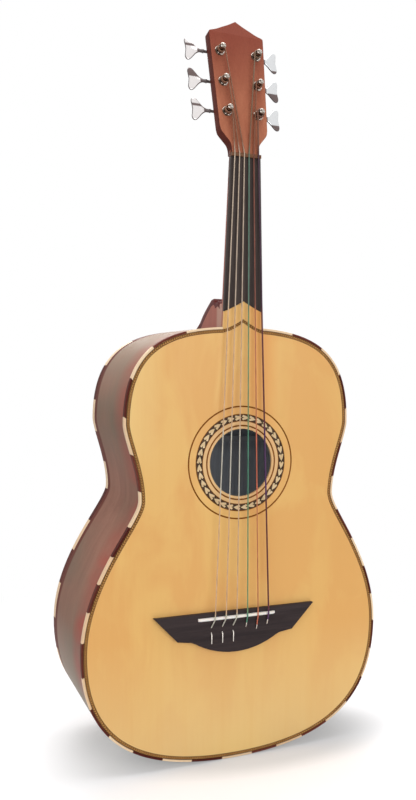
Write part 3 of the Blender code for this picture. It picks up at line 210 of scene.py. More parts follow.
# Sections in each half of the saddle, those that round its end off, and the end's length
SADDLE_STEPS = 8
SADDLE_END_STEPS = 4
SADDLE_END_LENGTH = 0.0045
TUNNEL_LENGTH = 0.009
TUNNEL_DEPTH = 0.003
TUNNEL_RAMP = 0.003
# Share of the way to the saddle's crown that a tunnel's cutter goes on outside the bridge
TUNNEL_MOUTH_SHARE = 0.35
TIE_LENGTH = 0.0125

# Strings, from the viewer's left
STRING_NAMES = ("1_pale", "2_pale", "3_pale", "4_green", "5_red", "6_plum")
STRING_RADII = (0.0009, 0.0009, 0.0009, 0.0010, 0.0009, 0.0012)
HOLE_DROPS = (0.012, 0.012, 0.012, 0.016, 0.021, 0.015)
TIED_STRINGS = (0, 1, 2)
SADDLE_SPACING = 0.0169
NUT_SPACING = 0.0074
TIE_SLANT = -0.0035
COIL_TURNS = 2
COIL_STEPS = 28
COIL_CLEARANCE = 0.0005
COIL_SPACING = 0.0003
WIRE_END = 0.006
WINDING_PITCH = 0.0006

# Tuning machines; posts from the nut end to the tip
POST_X = (0.0247, 0.0270, 0.0287)
POST_Y = (0.0615, 0.1078, 0.1552)
POST_HEIGHT = 0.0146
POST_RADIUS = 0.004
POST_WAIST_RADIUS = 0.0036
POST_CAP_HEIGHT = 0.004
POST_COLLAR_RADIUS = 0.005
POST_COLLAR_OVERLAP = 0.0005
POST_FILLET = 0.0008
# Rounded top of the post: share of its radius, depth below the top
POST_DOME = ((0.0, 0.0), (0.70, 0.0), (0.90, 0.0002), (1.0, 0.0006))
POST_HOLE_RADIUS = 0.0012
POST_HOLE_REACH = 0.006
# Slot in the post's lower end: half length, half width, depth
POST_SLOT = (0.0030, 0.0004, 0.0007)
FERRULE_RADIUS = 0.0075
FERRULE_HEIGHT = 0.0026
FERRULE_WALL = 0.0012
FERRULE_EDGE = 0.0004
WASHER_HEIGHT = 0.0008
SLEEVE_LENGTH = 0.009
PLATE_THICKNESS = 0.0016
PLATE_BELOW_POST = 0.011
PLATE_ABOVE_KEY = 0.0065
PLATE_INNER = 0.0105
PLATE_OUTER = 0.0125
PLATE_CORNER = 0.004
PLATE_EDGE = 0.0003
# Plate screws about the post: outwards, along the head; and a screw head's radius and height
SCREW_PLACES = ((0.0095, 0.0150), (-0.0080, 0.0150), (0.0095, -0.0080), (-0.0080, -0.0080))
SCREW_PROFILE = (
    *((0, 0.0008), (0.0014, 0.0008), (0.0014, 0.0001)),
    *((0.0013, -0.0002), (0.0008, -0.0006), (0, -0.0008)),
)
SCREW_CROSS = ((0.0009, 0.00018), (0.00018, 0.0009))
SCREW_CROSS_HEIGHT = (-0.001, -0.0003)
# Chamfer of the gears, ears, washers and sleeves, and that of the shafts' ends
FINE_EDGE = 0.0002
SHAFT_CHAMFER = 0.0003
GEAR_TEETH = 14
GEAR_WIDTH = 0.0036
GEAR_TIP_RADIUS = 0.0076
GEAR_ROOT_RADIUS = 0.0062
GEAR_TOOTH_TIP = 0.0007
GEAR_TOOTH_ROOT = 0.0014
GEAR_BOSS_HEIGHT = 0.0012
GEAR_BORE_MARGIN = 0.00002
WORM_DISTANCE = 0.010
WORM_HEIGHT = 0.0042
WORM_TURNS = 2.6
WORM_STEPS = 24
WORM_TIP_RADIUS = 0.0035
WORM_ROOT_RADIUS = 0.0021
WORM_ROOT_WIDTH = 0.0014
# Half width of the thread's crest, its depth inside the shaft, its least height and the steps in which its
# ends run out
WORM_CREST_HALF = 0.0001
WORM_BURIED = 0.0004
WORM_LEAST_HEIGHT = 0.0001
WORM_RUN_OUT = 9
WORM_LEAD = math.tau * (WORM_DISTANCE - (WORM_TIP_RADIUS + WORM_ROOT_RADIUS) / 2) / GEAR_TEETH
KEY_AXIS_DEPTH = HEAD_THICKNESS + GAP + PLATE_THICKNESS + WORM_HEIGHT
EAR_THICKNESS = 0.0016
EAR_HALF = 0.0042
EAR_DISTANCE = 0.0072
# Key's outline: distance from the post, half height
KEY_OUTLINE = (
    *((0.0190, 0.0026), (0.0235, 0.0030), (0.0285, 0.0062), (0.0335, 0.0118), (0.0375, 0.0160)),
    *((0.0410, 0.0174), (0.0440, 0.0160), (0.0454, 0.0120), (0.0446, 0.0060), (0.0438, 0.0000)),
)
KEY_THICKNESS = 0.0026
KEY_EDGE = 0.00125
# Key's stem: change of radius from the worm's root, distance from the blade's start
KEY_COLLAR = (
    *((0.0, -0.0035), (0.0007, -0.0030), (0.0009, -0.0020), (0.0005, -0.0010)),
    *((0.0002, 0.0015), (-0.0004, 0.0050), (-WORM_ROOT_RADIUS, 0.0085)),
)
# Lowest and highest edge of each blade's dark part, a painted reflection of dark surroundings, about its stem
KEY_DARK = (
    *((0.0045, 0.0085), (0.0040, 0.03), (0.0045, 0.0085)),
    *((-0.03, -0.0135), (-0.03, -0.0045), (-0.03, -0.009)),
)
# Softness of the dark part's edge, and how far from the post the blade's root stays dark with the same
# painted reflection
LOBE_EDGE = 0.0007
KEY_ROOT = 0.0262

# Camera, lamps and floor
CAMERA_PLACE = (-0.483, -1.141, 0.569)
CAMERA_YAW = -22.34
CAMERA_PITCH = -2.3
CAMERA_ROLL = -0.81
LENS = 36
SENSOR = 36
COOL = (0.84, 0.91, 0.98)
# Lamps: name, place, target, size, power, colour
LAMPS = (
    ("key_lamp", (0.45, -2.8, 1.05), (0, 0, 0.5), (2.2, 1.8), 28, (1, 1, 1)),
    ("fill_lamp", (-2.4, -1.6, 0.95), (0, 0, 0.5), (1.6, 1.6), 13, (1, 1, 1)),
    ("top_lamp", (0.1, 0.2, 2.6), (0, 0, 0.3), (2.2, 2.2), 46, (1, 1, 1)),
    ("inside_lamp", (-0.05, -0.045, 0.20), (0.05, 0.08, 0.42), (0.05, 0.05), 0.050, COOL),
    ("upper_inside_lamp", (-0.06, -0.03, 0.545), (0.09, 0.11, 0.455), (0.05, 0.05), 0.02, COOL),
    ("back_lamp", (0.6, 2.2, 1.9), (0, 0, 0.6), (1.4, 1.4), 18, (1, 1, 1)),
)
AMBIENT = 0.56
# Soft darker pool before the body, where the photo's paper is in its shade
POOL_CENTRE = (0.06, -0.06, 0.0)
POOL_REACH = (0.24, 0.10, 1.0)
POOL_EDGE = (1.1, 0.6)
POOL_DARKNESS = 0.37
FLOOR_PAINT = (0.765, 0.757, 0.765)
FLOOR_GLOW = 0.27
FLOOR_NEAR = 0.36
FLOOR_FAR = 0.85
FLOOR_SIZE = 40
FLOOR_DROP = 0.0005

# Colours
BLACK = (0.0, 0.0, 0.0)
SPRUCE_PALE = (0.745, 0.53, 0.228)
SPRUCE_LIGHT = (0.82, 0.57, 0.215)
SPRUCE_YELLOW = (0.775, 0.47, 0.150)
SPRUCE_DEEP = (0.735, 0.395, 0.122)
SPRUCE_ORANGE = (0.77, 0.36, 0.096)
SPRUCE_STREAK = (0.70, 0.36, 0.10)
SPRUCE_RING = (0.73, 0.49, 0.26)
SPRUCE_LINE = (0.52, 0.25, 0.07)
ROPE_LIGHT = (0.52, 0.27, 0.085)
ROPE_DARK = (0.105, 0.042, 0.012)
ROPE_EDGE = (0.085, 0.030, 0.010)
RED = ((0.238, 0.112, 0.078), (0.355, 0.182, 0.130))
INSIDE = ((0.42, 0.24, 0.11), (0.62, 0.40, 0.21))
RIB_BROWN = (0.196, 0.148, 0.106)
# Painted light on the ribs: a lighter sheen on the shoulders and a grey reflection at the tail
RIB_SHOULDER_PAINTED_SHEEN = (0.36, 0.265, 0.20)
RIB_TAIL_PAINTED_REFLECTION = (0.35, 0.335, 0.28)
RIB_GLOW = (0.44, 0.070, 0.052)
# Painted shadow on the ribs beside the back binding, under its lip
RIB_PAINTED_SHADOW = (0.13, 0.030, 0.022)
HEEL_STREAK = (0.56, 0.36, 0.28)
CROWN_DARK = (0.22, 0.050, 0.033)
# Key blades' plating, and a painted shaded copy of it for the right-hand keys; then the painted dark
# reflection
KEY_BRIGHT = ((0.84, 0.80, 0.79), (0.76, 0.77, 0.78))
KEY_SHADE = (0.15, 0.11, 0.105)
# Painted shade on the strings over the head
STRING_HEAD_PAINTED_SHADE = (0.20, 0.085, 0.045)


# Materials


class Graph:
    """The nodes of one material or world, which end in one of its own nodes."""

    def __init__(self, owner, end="Principled BSDF", **sockets):
        owner.use_nodes = True
        self.owner = owner
        self.tree = owner.node_tree
        self.end = self.tree.nodes[end]
        self.fill(self.end, {key.replace("_", " "): value for key, value in sockets.items()})

    def fill(self, node, sockets):
        """Sets sockets to numbers or colours, or links them to other nodes' outputs."""
        for key, value in sockets.items():
            socket = node.inputs[key]
            if isinstance(value, bpy.types.NodeSocket):
                self.tree.links.new(value, socket)
            else:
                socket.default_value = (*value, 1) if socket.type == "RGBA" else value

    def add(self, kind, sockets=(), output=0, **settings):
        """One output of a new node."""
        node = self.tree.nodes.new("ShaderNode" + kind)
        for key, value in settings.items():
            setattr(node, key, value)
        self.fill(node, dict(sockets))
        return node.outputs[output]

    def noise(self, scale, detail=6.0, roughness=0.55, distortion=0.0, stretch=(1.0, 1.0, 1.0), vector=None):
        vector = vector or self.add("Mapping", {"Vector": self.coordinates(), "Scale": stretch})
        sockets = {"Vector": vector, "Scale": scale, "Detail": detail}
        return self.add("TexNoise", {**sockets, "Roughness": roughness, "Distortion": distortion}, "Fac")

    def ramp(self, factor, low, high, colours):
        output = self.add("ValToRGB", {"Fac": factor}, "Color")
        for element, place, colour in zip(output.node.color_ramp.elements, (low, high), colours):
            element.position = place
            element.color = (*colour, 1)
        return output

    def mix(self, factor, first, second, blend="MIX"):
        return self.add("Mix", {0: factor, 6: first, 7: second}, 2, data_type="RGBA", blend_type=blend)

    def painted(self, colour, *layers):
        """The colour under layers of share and colour, each painted over the last."""
        for share, paint in layers:
            colour = self.mix(share, colour, paint)
        return colour

    def math(self, operation, *values):
        return self.add("Math", enumerate(values), operation=operation)

    def times(self, first, *others):
        for other in others:
            first = self.math("MULTIPLY", first, other)
        return first

    def minus(self, first, second):
        return self.math("SUBTRACT", first, second)

    def remap(self, value, low, high, to_low=0.0, to_high=1.0, **settings):
        return self.add("MapRange", enumerate((value, low, high, to_low, to_high)), **settings)

    def length(self, vector):
        return self.add("VectorMath", {0: vector}, "Value", operation="LENGTH")

    def coordinates(self):
        return self.add("TexCoord", output="Object")

    def axis(self, name):
        """One of the object coordinates."""
        return self.add("SeparateXYZ", {0: self.coordinates()}, name)

    def attribute(self, name):
        return self.add("Attribute", output="Fac", attribute_name=name)

    def finish(self, colour, height, distance, strength, rough=None):
        """Links the colour, the bump and the range of roughness, and returns the material."""
        bump = self.add("Bump", {"Height": height, "Distance": distance, "Strength": strength})
        self.fill(self.end, {"Base Color": colour, "Normal": bump})
        if rough:
            self.fill(self.end, {"Roughness": self.remap(*rough)})
        return self.owner


def start(name, **sockets):
    return Graph(bpy.data.materials.new(name), **sockets)


def stretched(along, length):
    """Texture scale with long streaks along one axis."""
    return tuple(length if axis == along else 1.0 for axis in "xyz")


def wood(name, colours, along, rough, shine, figure, pores, streak, tint=None, relief=0.00012):
    """Sawn wood: long streaks, fine pores, a slow change of tone, and a tint by place, which on the ribs
    holds painted light and shade.
    """
    graph = start(name, Specular_IOR_Level=shine)
    stretch = stretched(along, 0.05)
    streaks = graph.noise(streak, 7, 0.6, 0.6 * figure, stretch)
    broad = graph.noise(streak / 7, 3, 0.5, 1.5 * figure, stretch)
    fine = graph.noise(streak * 16, 4, 0.7, 0.0, stretched(along, 0.03))
    tone = graph.math("MULTIPLY_ADD", streaks, 0.6, graph.times(broad, 0.4))
    colour = graph.ramp(tone, 0.36, 0.64, colours)
    if tint:
        colour = tint(graph, colour)
    shade = graph.remap(fine, 0.35, 0.62, 1.0 - pores * 0.5, 1.0)
    grey = graph.add("CombineColor", {"Red": shade, "Green": shade, "Blue": shade})
    colour = graph.mix(1.0, colour, grey, "MULTIPLY")
    return graph.finish(colour, fine, relief, 0.5, (streaks, 0.3, 0.7, rough - 0.05, rough + 0.08))


def spruce():
    """The lacquered soundboard, mirrored about its seam: golden, paler at the tail, orange by the neck."""
    graph = start("spruce_board", Specular_IOR_Level=0.3)
    remap, times = graph.remap, graph.times
    x, z = graph.axis("X"), graph.axis("Z")
    folded = graph.math("ABSOLUTE", x)
    vector = graph.add("CombineXYZ", {"X": folded, "Z": times(z, 0.04)})
    streaks = graph.noise(70, 6, 0.6, 0.25, vector=vector)
    broad = graph.noise(11, 3, 0.5, 0.4, vector=vector)
    sockets = {"Vector": vector, "Scale": 165.0, "Distortion": 1.6, "Detail": 2.0, "Detail Scale": 0.6}
    waves = graph.add("TexWave", sockets, "Fac")
    cloud = graph.noise(13, 4, 0.55, 0.6, (1.0, 1.0, 0.45))
    yellow = times(remap(x, 0.06, -0.15, 0.0, 0.7), remap(z, 0.22, 0.50, 0.35, 1.0))
    yellow = graph.math("ADD", yellow, remap(cloud, 0.40, 0.60, -0.55, 0.75))
    left_edge = times(remap(x, -0.115, -0.165), remap(z, 0.40, 0.47), 0.9)
    tail_glow = times(remap(z, 0.075, 0.02), remap(folded, 0.09, 0.02), 0.6)
    near_neck = times(remap(x, 0.004, 0.018), remap(x, 0.060, 0.036))
    from_hole = graph.length(graph.add("CombineXYZ", {"X": x, "Z": graph.minus(z, SOUND_HOLE_Z)}))
    colour = graph.painted(
        SPRUCE_DEEP,
        (yellow, SPRUCE_YELLOW),
        (remap(z, 0.19, 0.03, 0.0, 0.75), SPRUCE_PALE),
        (left_edge, SPRUCE_LIGHT),
        (tail_glow, SPRUCE_LIGHT),
        (times(near_neck, remap(z, 0.30, 0.56, 0.35, 1.0), remap(z, 0.20, 0.26)), SPRUCE_ORANGE),
        (remap(from_hole, MOSAIC_RADIUS, MOSAIC_RADIUS - 0.001, 0.0, 0.6), SPRUCE_RING),
        (remap(broad, 0.35, 0.7, 0.0, 0.18), SPRUCE_STREAK),
        (remap(waves, 0.55, 1.0, 0.0, 0.10), SPRUCE_LINE),
        (remap(streaks, 0.45, 0.75, 0.0, 0.16), SPRUCE_STREAK),
    )
    return graph.finish(colour, waves, 0.00006, 0.35, (streaks, 0.3, 0.7, 0.30, 0.40))


def rope():
    """The brown rope line: slanting light and dark strands between two dark edges."""
    graph = start("rope_inlay", Roughness=0.40, Specular_IOR_Level=0.06)
    folded = graph.math("ABSOLUTE", graph.minus(graph.attribute("across"), 0.5))
    phase = graph.math("MULTIPLY_ADD", graph.attribute("arc"), 1 / ROPE_PITCH, graph.times(folded, 1.6))
    tooth = graph.math("ABSOLUTE", graph.minus(graph.math("FRACT", phase), 0.5))
    strand = graph.remap(tooth, 0.20, 0.30)
    mottled = graph.remap(graph.noise(90, 3), 0.3, 0.7, 0.0, 0.35)
    toned = graph.mix(mottled, graph.mix(strand, ROPE_DARK, ROPE_LIGHT), ROPE_DARK)
    return graph.finish(graph.mix(graph.remap(folded, 0.36, 0.40), toned, ROPE_EDGE), strand, 0.00003, 0.3)


def block(name, colours, rough, shine):
    """A block of the binding, each with its own tone."""
    graph = start(name, Specular_IOR_Level=shine)
    grain = graph.noise(260, 5, 0.6, 0.5)
    mixed = graph.math("MULTIPLY_ADD", grain, 0.55, graph.times(graph.attribute("tone"), 0.5))
    colour = graph.ramp(mixed, 0.2, 0.8, colours)
    return graph.finish(colour, grain, 0.00004, 0.3, (grain, 0.3, 0.7, rough, rough + 0.1))


def bone(name, colours, shine):
    graph = start(name, Subsurface_Weight=0.12, Subsurface_Scale=0.002, Specular_IOR_Level=shine)
    mottled = graph.noise(120, 5, 0.6)
    colour = graph.ramp(mottled, 0.3, 0.7, colours)
    return graph.finish(colour, mottled, 0.00003, 0.3, (mottled, 0.3, 0.7, 0.28, 0.40))


def wiping_marks(graph):
    return graph.noise(420, 5, 0.65, 0.4)


def metal(name, colour, rough, metallic=1.0, shine=0.5):
    """Plated metal with faint wiping marks."""
    graph = start(name, Metallic=metallic, Specular_IOR_Level=shine)
    marks = wiping_marks(graph)
    worn = tuple(c * 0.82 for c in colour)
    toned = graph.mix(graph.remap(marks, 0.4, 0.75), colour, worn)
    return graph.finish(toned, marks, 0.00001, 0.2, (marks, 0.3, 0.8, rough, rough + 0.06))


def metal_with_painted_reflections(name, colours):
    """Plated metal with painted dark and bright patches, which stand in for the room that it mirrors."""
    graph = start(name, Metallic=1.0)
    marks = wiping_marks(graph)
    colour = graph.ramp(graph.noise(210, 2, 0.5, 0.3), 0.44, 0.56, colours)
    return graph.finish(colour, marks, 0.00001, 0.2, (marks, 0.3, 0.8, 0.10, 0.18))


def blade_metal():
    """A key's plated face, with a painted shaded tone on the right-hand keys; its dark part, a painted
    reflection, lies between two heights that the mesh carries.
    """
    graph = start("key_plating", Specular_IOR_Level=0.2)
    x, height = graph.axis("X"), graph.axis("Y")
    # Painted reflection: dark between the heights that the mesh carries, and at the blade's root
    above = graph.remap(graph.minus(height, graph.attribute("dark_low")), -LOBE_EDGE, LOBE_EDGE)
    below = graph.remap(graph.minus(graph.attribute("dark_high"), height), -LOBE_EDGE, LOBE_EDGE)
    marks = wiping_marks(graph)
    root = graph.remap(graph.math("ABSOLUTE", x), KEY_ROOT + LOBE_EDGE, KEY_ROOT - LOBE_EDGE)
    dark = graph.math("MAXIMUM", graph.times(above, below), root)
    left_hand, right_hand_painted_shade = KEY_BRIGHT
    # Painted shade: the right-hand keys take the darker, cooler tone
    turned = graph.remap(x, -LOBE_EDGE, LOBE_EDGE)
    worn = graph.remap(marks, 0.4, 0.75, 0.0, 0.1)
    colour = graph.painted(left_hand, (turned, right_hand_painted_shade), (worn, BLACK), (dark, KEY_SHADE))
    graph.fill(graph.end, {"Metallic": graph.remap(dark, 0.0, 1.0, 1.0, 0.2)})
    return graph.finish(colour, marks, 0.00001, 0.2, (marks, 0.3, 0.8, 0.10, 0.18))


def string_look(name, colour, hole_painted_light, neck_painted_shade, wound=False):
    """A nylon string, or a wound one with its turns of wire. It is warm over the soundboard; painted light
    makes it brighter over the sound hole and from the saddle down, and painted shade makes it darker over the
    neck, browner over the head and darker in the grooves between its turns."""
    graph = start(name, Metallic=0.3 if wound else 0.0, Specular_IOR_Level=0.25)
    remap = graph.remap
    z = graph.axis("Z")
    turns = graph.math("SINE", graph.times(z, math.tau / WINDING_PITCH))
    spots = graph.noise(700, 3, stretch=(1.0, 1.0, 0.1))
    away = graph.math("ABSOLUTE", graph.minus(z, SOUND_HOLE_Z))
    over_hole = remap(away, SOUND_HOLE_RADIUS + 0.006, SOUND_HOLE_RADIUS - 0.004)
    low_end = remap(z, SADDLE_Z + 0.008, SADDLE_Z + 0.003)
    over_neck = remap(z, FINGERBOARD_END_Z - 0.002, FINGERBOARD_END_Z + 0.012)
    # Painted shade: browner over the head
    over_head = remap(z, NUT_Z - 0.002, NUT_Z + 0.02, 0.0, 0.95 if wound else 0.75)
    # Painted light over the sound hole and from the saddle down
    bright = graph.math("MAXIMUM", over_hole, low_end)
    own = graph.painted(colour, (bright, hole_painted_light), (over_neck, neck_painted_shade))
    shade = graph.mix(0.4, own, BLACK)
    # Painted shade in the grooves between the turns
    groove_shade = remap(turns, -1.0, 1.0, 0.0, 0.45 if wound else 0.08)
    tone = graph.painted(own, (remap(spots, 0.35, 0.7), shade), (groove_shade, shade), (over_head, STRING_HEAD_PAINTED_SHADE))
    relief = 0.00008 if wound else 0.00001
    return graph.finish(tone, turns, relief, 0.5, (spots, 0.3, 0.7, 0.26, 0.38))


def rib_tint(graph, colour):
    """Browner patches, a painted lighter sheen on the shoulders, a painted grey reflection at the tail, a red
    glow beside the top binding, and a dark red line of painted shadow beside the back one.
    """
    remap = graph.remap
    y, z = graph.axis("Y"), graph.axis("Z")
    patches = graph.noise(7, 2, 0.5, stretch=(1.0, 0.5, 1.0))
    glow = graph.noise(16, 2, 0.5, stretch=(1.0, 0.3, 1.0))
    beside_top = graph.times(
        remap(graph.minus(y, FACE_Y), 0.060, 0.012),
        remap(glow, 0.42, 0.58, 0.3, 1.0),
        remap(z, 0.42, 0.32, 0.45, 1.0),
        remap(z, 0.10, 0.20),
    )
    edge = graph.math("MULTIPLY_ADD", z, BACK_LEAN, FACE_Y + RIM_DEPTH_TAIL - BACK_BINDING_DEPTH)
    return graph.painted(
        colour,
        (remap(patches, 0.42, 0.62, 0.0, 0.85), RIB_BROWN),
        # Painted sheen on the shoulders and painted reflection at the tail
        (remap(z, 0.50, 0.60, 0.0, 0.85), RIB_SHOULDER_PAINTED_SHEEN),
        (remap(z, 0.20, 0.06, 0.0, 0.95), RIB_TAIL_PAINTED_REFLECTION),
        (beside_top, RIB_GLOW),
        # Painted shadow beside the back binding
        (remap(graph.minus(edge, y), 0.016, 0.010, 0.0, 0.9), RIB_PAINTED_SHADOW),
    )


def heel_tint(graph, colour):
    """A pale upright streak on the heel, beside the soundboard's tongue."""
    y, z = graph.axis("Y"), graph.axis("Z")
    across = graph.times(graph.remap(y, -0.092, -0.084), graph.remap(y, -0.052, -0.060))
    return graph.mix(graph.times(across, graph.remap(z, 0.668, 0.655, 0.0, 0.75)), colour, HEEL_STREAK)


def head_tint(graph, colour):
    """Darker towards the crown."""
    return graph.mix(graph.remap(graph.axis("Z"), 0.94, 1.05, 0.0, 0.85), colour, CROWN_DARK)


# Woods: name, dark and light colour, grain's axis, roughness, shine, then figure, pores and scale of the
# streaks, and for some a tint by place and the height of the relief
CARVED = (0.8, 0.2, 60.0)
HEAD_FIGURE = (0.7, 0.18, 45.0)
COOL_INSIDE = (0.7, 0.1, 1.4, 0.3, 30.0)
WARM_INSIDE = (0.75, 0.2, 0.8, 0.4, 70.0)
TRIM = (0.6, 0.3, 160.0)
WOODS = (
    ("rib_wood", RED, "z", 0.40, 0.012, 1.6, 0.12, 26.0, rib_tint, 0.00003),
    # Painted shade in the body: the inner faces of the ribs and back are a cool grey
    ("rib_inside_wood", ((0.30, 0.31, 0.32), (0.42, 0.43, 0.44)), "z", *COOL_INSIDE),
    ("back_wood", RED, "z", 0.36, 0.05, 1.4, 0.2, 30.0, None, 0.00004),
    ("back_inside_wood", ((0.36, 0.39, 0.43), (0.50, 0.54, 0.60)), "z", *COOL_INSIDE),
    ("neck_wood", ((0.36, 0.120, 0.088), (0.47, 0.175, 0.130)), "z", 0.40, 0.02, *CARVED, heel_tint, 0.00004),
    ("heel_edge_wood", ((0.08, 0.013, 0.012), (0.15, 0.03, 0.026)), "z", 0.40, 0.02, *CARVED, None, 0.00004),
    ("head_wood_grain", ((0.35, 0.112, 0.062), (0.48, 0.18, 0.1)), "z", 0.44, 0.04, *HEAD_FIGURE, head_tint),
    ("head_edge_grain", ((0.095, 0.024, 0.018), (0.150, 0.042, 0.030)), "z", 0.45, 0.02, *HEAD_FIGURE),
    ("inside_wood", INSIDE, "x", *WARM_INSIDE),
    ("inside_wood_upright", INSIDE, "z", *WARM_INSIDE),
    # Painted shade: cool grey for the back's strip and braces
    ("inside_wood_cool", ((0.33, 0.35, 0.38), (0.46, 0.49, 0.53)), "x", 0.75, 0.1, 0.8, 0.3, 70.0),
    ("fingerboard_wood", ((0.037, 0.027, 0.025), (0.084, 0.062, 0.054)), "z", 0.42, 0.12, 0.7, 0.5, 110.0),
    ("bridge_wood_grain", ((0.030, 0.022, 0.023), (0.054, 0.039, 0.039)), "x", 0.48, 0.08, 0.8, 0.35, 120.0),
    ("graft_wood", ((0.018, 0.011, 0.010), (0.060, 0.034, 0.028)), "y", 0.30, 0.2, 0.7, 0.4, 110.0),
    ("mosaic_ground", ((0.045, 0.026, 0.016), (0.10, 0.058, 0.034)), "x", 0.35, 0.1, *TRIM),
    ("line_wood_grain", ((0.17, 0.052, 0.008), (0.27, 0.090, 0.016)), "x", 0.40, 0.02, *TRIM),
    ("arrow_wood", ((0.62, 0.43, 0.22), (0.84, 0.66, 0.40)), "x", 0.35, 0.2, 0.6, 0.25, 160.0),
)
# Strings: name, colour over the soundboard, then the painted light and shade colours over the sound hole and
# over the neck, and True if wound
STRING_LOOKS = (
    ("string_wound", (0.74, 0.49, 0.30), (0.66, 0.63, 0.53), (0.60, 0.47, 0.36), True),
    ("string_green_nylon", (0.20, 0.33, 0.16), (0.085, 0.26, 0.17), (0.12, 0.21, 0.155)),
    ("string_red_nylon", (0.56, 0.21, 0.095), (0.68, 0.17, 0.095), (0.25, 0.080, 0.052)),
    ("string_plum_nylon", (0.125, 0.028, 0.036), (0.095, 0.035, 0.115), (0.060, 0.024, 0.045)),
)
LOOKS = (
    spruce(),
    rope(),
    block("cream_block", ((0.72, 0.48, 0.28), (0.88, 0.69, 0.46)), 0.30, 0.12),
    block("dark_block", ((0.060, 0.012, 0.010), (0.16, 0.045, 0.030)), 0.34, 0.015),
    *(wood(*row) for row in WOODS),
    bone("saddle_bone", ((0.76, 0.72, 0.66), (0.86, 0.84, 0.80)), 0.3),
    bone("nut_bone_tan", ((0.12, 0.052, 0.028), (0.20, 0.095, 0.050)), 0.05),
    metal("chrome_plating", (0.80, 0.78, 0.77), 0.09),
    metal_with_painted_reflections("post_plating", ((0.13, 0.10, 0.075), (0.72, 0.66, 0.60))),
    # Painted dark reflection on the keys' stems and blade rims
    metal("key_rim_painted_reflection", (0.12, 0.10, 0.098), 0.25, 0.4, 0.08),
    blade_metal(),
    metal("gear_brass", (0.72, 0.53, 0.24), 0.24),
    *(string_look(*row) for row in STRING_LOOKS),
    metal("string_end_wire", (0.66, 0.60, 0.55), 0.22),
)
MATERIALS = {look.name: look for look in LOOKS}


# Mesh helpers


def at(x, y, z):
    return Matrix.Translation((x, y, z))


def polar(radius, turn, x=0.0, y=0.0):
    return (x + radius * math.cos(turn), y + radius * math.sin(turn))


def half_turn(steps):
    return [math.pi * k / steps for k in range(steps + 1)]


def new_object(name, data):
    obj = bpy.data.objects.new(name, data)
    bpy.context.scene.collection.objects.link(obj)
    return obj


def piece(name, mesh, material, slot, replaces="", body=ROOT, matrix=None, smooth=40):
    """A shown piece that rides on a body. The material may be several, for the faces' own indices."""
    obj = new_object(name, mesh)
    if not mesh.materials:
        for word in material if isinstance(material, tuple) else (material,):
            mesh.materials.append(MATERIALS[word])
    mesh.shade_smooth()
    mesh.set_sharp_from_angle(angle=math.radians(smooth))
    if matrix:
        obj.matrix_world = matrix
    if replaces:
        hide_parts(replaces)
    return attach(obj, body)


def second_where(mesh, test):
    """Gives the faces that pass the test the second material."""
    for face in mesh.polygons:
        face.material_index = 1 if test(face) else 0


def opened(mesh, weld=0.0):
    bm = bmesh.new()
    bm.from_mesh(mesh)
    if weld:
        bmesh.ops.remove_doubles(bm, verts=bm.verts, dist=weld)
    return bm


def closed(bm):
    """The mesh of a closed solid, with its faces turned outwards."""
    bmesh.ops.recalc_face_normals(bm, faces=bm.faces)
    if bm.calc_volume(signed=True) < 0:
        bmesh.ops.reverse_faces(bm, faces=bm.faces)
    mesh = bpy.data.meshes.new("solid")
    bm.to_mesh(mesh)
    bm.free()
    return mesh


def rounded(mesh, width, segments=3, angle=35):
    """Rounds the sharp edges of a mesh."""
    bm = opened(mesh, WELD)
    sharp = [e for e in bm.edges if len(e.link_faces) == 2 and e.calc_face_angle(0) > math.radians(angle)]
    settings = {"offset": width, "segments": segments, "profile": 0.5, "affect": "EDGES"}
    bmesh.ops.bevel(bm, geom=sharp, clamp_overlap=True, **settings)
    return closed(bm)


def evaluated(obj):
    bpy.context.view_layer.update()
    mesh = bpy.data.meshes.new_from_object(obj.evaluated_get(bpy.context.evaluated_depsgraph_get()))
    bpy.data.objects.remove(obj)
    return mesh


def curve_mesh(loops, weld, cyclic, **settings):
    curve = bpy.data.curves.new("curve", "CURVE")
    for key, value in settings.items():
        setattr(curve, key, value)
    for loop in loops:
        spline = curve.splines.new("POLY")
        spline.points.add(len(loop) - 1)
        spline.use_cyclic_u = cyclic
        for point, place in zip(spline.points, loop):
            point.co = (*place, 1)
    return closed(opened(evaluated(new_object("curve", curve)), weld))


def plate(loops, thickness, edge=0.0, matrix=None):
    """A flat outline with its holes, about its own plane, with rounded edges."""
    mesh = curve_mesh(
        [[(x, y, 0) for x, y in loop] for loop in loops],
        WELD,
        True,
        dimensions="2D",
        fill_mode="BOTH",
        extrude=thickness / 2 - edge,
        bevel_depth=edge,
        bevel_resolution=2 if edge else 0,
        offset=-edge,
    )
    if matrix:
        mesh.transform(matrix)
    return mesh


def upright_plate(loops, front_y, depth, edge=0.0):
    return plate(loops, depth, edge, at(0, front_y + depth / 2, 0) @ Matrix.Rotation(math.pi / 2, 4, "X"))


def tube(points, radius, resolution=4):
    settings = {"dimensions": "3D", "bevel_depth": radius, "bevel_resolution": resolution}
    return curve_mesh([points], WELD / 10, False, use_fill_caps=True, **settings)


def cut(mesh, others, operation="DIFFERENCE"):
    """The mesh after exact cuts, or unions, with the others."""
    base = new_object("base", mesh)
    extra = [new_object("cutter", other) for other in others]
    for other in extra:
        mod = base.modifiers.new("Cut", "BOOLEAN")
        mod.operation = operation
        mod.object = other
    result = evaluated(base)
    for other in extra:
        bpy.data.objects.remove(other)
    return result


def joined(meshes):
    """Several meshes as one, side by side."""
    bm = bmesh.new()
    for mesh in meshes:
        bm.from_mesh(mesh)
    mesh = bpy.data.meshes.new("joined")
    bm.to_mesh(mesh)
    bm.free()
    return mesh


def moved(mesh, matrix):
    copy = mesh.copy()
    copy.transform(matrix)
    return copy


